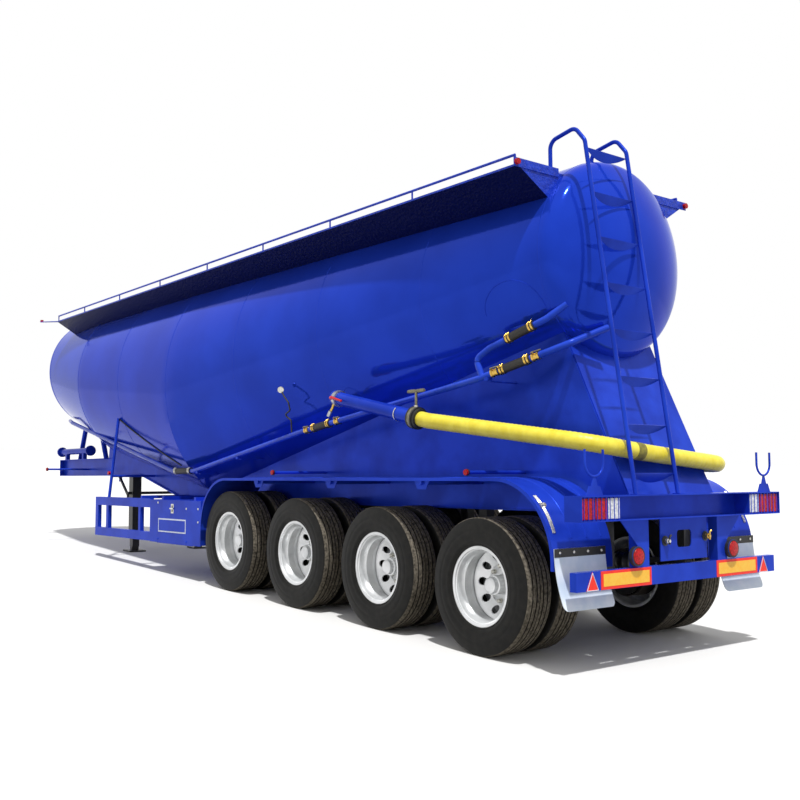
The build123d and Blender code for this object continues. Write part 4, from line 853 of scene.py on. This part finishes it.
# Manhole lid clamps: zinc plated bolts with wing nuts, six set round each pressed cover. They
# ride on the lid, so that they swing open with it.
LID_XS = (1900.0, 7200.0)
CLAMP_CIRCLE = 258.0
CLAMP_Z = TANK_TOP + 76.0
for number, lid_x in enumerate(LID_XS, 1):
    for order in range(6):
        bearing = math.radians(60.0 * order + 30.0)
        outward = np.array([math.cos(bearing), math.sin(bearing), 0.0])
        place = (lid_x, 0.0, CLAMP_Z) + CLAMP_CIRCLE * outward
        round_stack(f"lid_clamp_{number}_{order}", place, (0.0, 0.0001, 1.0),
                    [(0, 20), (6, 20), (8, 11), (22, 11), (24, 15), (34, 15), (38, 6), (39, 1)],
                    zinc_plate, 12, f"manhole_lid_{number}")
        across = 34.0 * np.cross((0.0, 0.0, 1.0), outward)
        wings = [place - across + (0, 0, 40), place + (0, 0, 30), place + across + (0, 0, 40)]
        tube_piece(f"lid_wing_{number}_{order}", wings, 6.0, zinc_plate, 8, f"manhole_lid_{number}")


# Walkways: folded steel deck with a rolled rail. The deck's top is a raised tread pattern, and
# its closed underside carries painted shade in dark navy, with its gloss turned down.
walkway_enamel = new_finish("walkway_tread_enamel", "#2445c8", "#1c38ae", 0.32, grain_mm=60.0,
                            bump=0.35, bump_mm=28.0, ior=1.3)
tree = walkway_enamel.node_tree
shader = tree.nodes["Principled BSDF"]
place = add_node(tree, "ShaderNodeTexCoord")
tilt_sin, tilt_cos = math.sin(PARK_PITCH), math.cos(PARK_PITCH)


def past_line(heading, operation, limit):
    """Mask of the places that lie beyond a limit in metres along a heading of the trailer."""
    reach = add_node(tree, "ShaderNodeVectorMath", {"operation": "DOT_PRODUCT", 1: heading},
                     {0: place.outputs["Object"]})
    return add_node(tree, "ShaderNodeMath", {"operation": operation, 1: limit}, {0: reach.outputs["Value"]})


DECK_UNDERSIDE_Z = 3.783
SHADE_FROM_X = -0.35
axle_x = REAR_AXLE_X / 1000.0
# Mask of the deck's underside from near the rear end forward: there the blue gives way to dark navy painted
# shade and the gloss is turned down.
under = past_line((tilt_sin, 0.0, tilt_cos), "LESS_THAN", DECK_UNDERSIDE_Z + axle_x * tilt_sin)
ahead = past_line((tilt_cos, 0.0, -tilt_sin), "GREATER_THAN", SHADE_FROM_X + axle_x * tilt_cos)
both = add_node(tree, "ShaderNodeMath", {"operation": "MULTIPLY"},
                {0: under.outputs[0], 1: ahead.outputs[0]})
painted_shade_mix = add_node(tree, "ShaderNodeMix", {"data_type": "RGBA", 7: linear("#0a1146")},
                  {0: both.outputs[0], 6: shader.inputs["Base Color"].links[0].from_socket})
tree.links.new(painted_shade_mix.outputs[2], shader.inputs["Base Color"])
dulling = add_node(tree, "ShaderNodeMapRange", {"To Min": 0.5, "To Max": 0.08}, {"Value": both.outputs[0]})
tree.links.new(dulling.outputs[0], shader.inputs["Specular IOR Level"])
for name in ("walkway_left", "walkway_right"):
    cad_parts[name].data.materials[0] = walkway_enamel


# Discharge valve: a black cast butterfly valve with a steel T handle, then the hose tail. The
# free end of the pipe is shut by a cast aluminium cam coupler with red levers and a small cock.
cast_aluminium = new_finish("cast_aluminium", "#c4c6c8", "#9d9fa2", 0.4, metallic=1.0,
                            grain_mm=14.0, bump=0.2, bump_mm=3.0)
handle_steel = new_finish("dull_handle_steel", "#8f8a72", "#6f6b58", 0.5, metallic=0.6,
                          grain_mm=20.0)
red_enamel = new_finish("red_lever_enamel", "#e02030", "#c01424", 0.3, grain_mm=40.0,
                        ior=1.45)
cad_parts["hose_coupling"].data.materials[0] = cast_aluminium
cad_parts["discharge_valve"].data.materials[0] = handle_steel
round_stack("butterfly_valve_body", OUTLET_REAR, OUT_RUN,
            [(-12, 63), (-11, 97), (14, 98), (16, 84), (52, 84), (54, 98), (70.5, 97), (71, 88), (96, 84),
             (97, 67)], black_rubber, 48)
stem_foot = OUTLET_REAR + OUT_RUN * 35.0
stem_tip = stem_foot + (0.0, 0.0, 230.0)
tube_piece("valve_stem_sleeve", [stem_foot + (0, 0, 90), stem_tip + (0, 0, -8)], 12.0, handle_steel)
round_stack("valve_stem_knuckle", stem_foot + (0.0, 0.0, 84.0), (0, 0, 1),
            [(0, 15), (2, 20), (22, 20), (24, 13)], zinc_plate, 24)
for side in (-1, 1):
    ring_piece(f"t_handle_grip_{side}", [stem_tip + (side * 12, 0, 0), stem_tip + (side * 108, 0, 0)],
               [(0, 13), (4, 15.5), (60, 16.5), (92, 15), (96, 6)], handle_steel, 20)
coupler_place = OUTLET_FRONT - OUT_RUN * 66.0
round_stack("cam_coupler_body", coupler_place, OUT_RUN,
            [(0, 1), (1, 30), (6, 52), (18, 66), (34, 74), (62, 75), (66, 80), (84, 80), (88, 64)],
            cast_aluminium, 48)
for side in (-1, 1):
    pivot = coupler_place + OUT_RUN * 40.0 + (0.0, side * 82.0, 0.0)
    path = rounded_route([pivot, pivot + OUT_RUN * 60 + (0, side * 12, 6),
                          pivot + OUT_RUN * 190 + (0, side * 6, -4)], 60.0)
    tip = run_along(path)[-1]
    rows = [(0, 9), (6, 17), (30, 18), (70, 12), (tip - 20, 11), (tip - 4, 12), (tip, 6)]
    ring_piece(f"cam_lever_{side}", path, rows, red_enamel, 18)
cock_foot = coupler_place + OUT_RUN * 24.0 + (0.0, 30.0, -50.0)
cock_path = rounded_route([cock_foot, cock_foot + (8, 10, -46), cock_foot + (52, 14, -96)], 26.0)
tube_piece("drain_cock_body", cock_path, 13.0, brass_clamp, 18)
tube_piece("drain_cock_spout", [cock_path[-1] - (16, 0, -22), cock_path[-1] + (14, 4, -26)], 19.0,
           cast_aluminium, 18)
clip = stem_foot - OUT_RUN * 240.0
turn = np.linspace(-0.25 * math.pi, 1.25 * math.pi, 26)[:, None]
clip_side = np.array([0.0, 1.0, 0.0])
clip_up = np.cross(OUT_RUN, clip_side)
tube_piece("discharge_u_bolt", clip + clip_side * 66.0 * np.cos(turn) + clip_up * 66.0 * np.sin(turn), 5.0,
           zinc_plate, 12)


# Small fittings of the air line: a brass cock at each end of two sleeves and a pressure gauge on
# a bent tube, all screwed into bosses on the blue pipe.
def on_pipe(run, share):
    """Point on a straight run of the air pipe and the run's direction."""
    step = PIPE_ROUTE[run + 1] - PIPE_ROUTE[run]
    return between(PIPE_ROUTE, run, share), step / np.linalg.norm(step)


# columns: run of the air pipe, share of the way along it
LINE_COCKS = [(4, 0.045), (4, 0.245), (5, 0.20), (5, 0.66)]
for number, (run, share) in enumerate(LINE_COCKS):
    at, heading = on_pipe(run, share)
    round_stack(f"line_cock_body_{number}", at - heading * 34.0, heading,
                [(0, 30), (2, 36), (16, 36), (18, 32), (50, 32), (52, 36), (66, 36), (68, 30)],
                brass_clamp, 20)
    tube_piece(f"line_cock_stem_{number}", [at + (0, 26, 14), at + (0, 52, 30)], 9.0, brass_clamp, 12)
    tube_piece(f"line_cock_lever_{number}", [at + (0, 52, 30), at + heading * 88 + (0, 58, 22)], 5.5,
               handle_steel, 10)
foot, _ = on_pipe(3, 0.93)
gauge_route = rounded_route([foot + (0, 10, 24), foot + (-20, 30, 150), foot + (60, 60, 210),
                             foot + (-60, 70, 250), foot + (-60, 90, 330), foot + (-10, 110, 395),
                             foot + (20, 118, 440)], 22.0)
tube_piece("gauge_siphon_tube", gauge_route, 8.0, black_rubber, 14)
round_stack("pressure_gauge", gauge_route[-1] + (30.0, -8.0, 30.0), (-0.75, 0.62, -0.2),
            [(0, 2), (1, 26), (6, 33), (26, 34), (30, 32), (31, 29), (29, 28), (28.5, 1)], zinc_plate, 32)


# Studio: a pale matt floor and a sky that the camera and gloss see as white, and a soft key light
# that stands high behind and a little to the left, as in the photograph.
def seen_directly(tree):
    """Mask of the rays that come from the camera, from gloss or through clear plastic."""
    path = add_node(tree, "ShaderNodeLightPath")
    mask = path.outputs["Is Camera Ray"]
    for kind in ("Is Glossy Ray", "Is Transmission Ray"):
        either = add_node(tree, "ShaderNodeMath", {"operation": "MAXIMUM"}, {0: mask, 1: path.outputs[kind]})
        mask = either.outputs[0]
    return mask


FLOOR_HALF_SIZE = 90.0
floor_finish = bpy.data.materials.new("pale_studio_floor")
floor_finish.use_nodes = True
tree = floor_finish.node_tree
shader = tree.nodes["Principled BSDF"]
shader.inputs["Roughness"].default_value = 0.9
floor_mix = add_node(tree, "ShaderNodeMix", {"data_type": "RGBA", 6: linear("#9a9996"), 7: linear("#e4e3e1")},
                     {0: seen_directly(tree)})
tree.links.new(floor_mix.outputs[2], shader.inputs["Base Color"])
floor_mesh = bpy.data.meshes.new("studio_floor")
floor_mesh.from_pydata([(x * FLOOR_HALF_SIZE, y * FLOOR_HALF_SIZE, 0.0)
                        for x, y in ((-1, -1), (1, -1), (1, 1), (-1, 1))], [], [(0, 1, 2, 3)])
floor_mesh.materials.append(floor_finish)
floor = bpy.data.objects.new("studio_floor", floor_mesh)
bpy.context.scene.collection.objects.link(floor)

SKY_LIGHT = 0.62
SKY_SEEN = 1.0
world = bpy.data.worlds.new("studio_sky")
bpy.context.scene.world = world
world.use_nodes = True
sky = world.node_tree
background = sky.nodes["Background"]
background.inputs["Color"].default_value = (1.0, 1.0, 1.0, 1.0)
strength = add_node(sky, "ShaderNodeMapRange", {"To Min": SKY_LIGHT, "To Max": SKY_SEEN},
                    {"Value": seen_directly(sky)})
sky.links.new(strength.outputs[0], background.inputs["Strength"])

SUN_TRAVEL = Vector((0.345, -0.18, -1.0))
SUN_ENERGY = 3.2
SUN_ANGLE = math.radians(2.0)
sun_data = bpy.data.lights.new("soft_sun", "SUN")
sun_data.energy = SUN_ENERGY
sun_data.angle = SUN_ANGLE
sun = bpy.data.objects.new("soft_sun", sun_data)
sun.rotation_euler = SUN_TRAVEL.to_track_quat("-Z", "Y").to_euler()
bpy.context.scene.collection.objects.link(sun)


# Camera: standing behind the left rear corner at eye height, fitted to the wheels, the beam and
# the ground contact points of the photograph.
CAMERA_PLACE = np.array([-5.6888 + REAR_AXLE_X / 1000.0, 6.5179, 1.6171])
CAMERA_YAW = -0.6708
CAMERA_PITCH = 0.0429
CAMERA_ROLL = 0.0210
CAMERA_LENS = 45.21

ahead = math.cos(CAMERA_PITCH)
forward = np.array([ahead * math.cos(CAMERA_YAW), ahead * math.sin(CAMERA_YAW), math.sin(CAMERA_PITCH)])
level = np.cross(forward, (0.0, 0.0, 1.0))
level /= np.linalg.norm(level)
upright = np.cross(level, forward)
right = math.cos(CAMERA_ROLL) * level + math.sin(CAMERA_ROLL) * upright
above = -math.sin(CAMERA_ROLL) * level + math.cos(CAMERA_ROLL) * upright
camera_data = bpy.data.cameras.new("photo_camera")
camera_data.lens = CAMERA_LENS
camera_data.sensor_width = 36.0
camera_data.clip_end = 400.0
camera = bpy.data.objects.new("photo_camera", camera_data)
matrix = np.eye(4)
matrix[:3] = np.column_stack([right, above, -forward, CAMERA_PLACE])
camera.matrix_world = Matrix(matrix.tolist())
bpy.context.scene.collection.objects.link(camera)
bpy.context.scene.camera = camera
bpy.context.scene.view_settings.view_transform = "Standard"
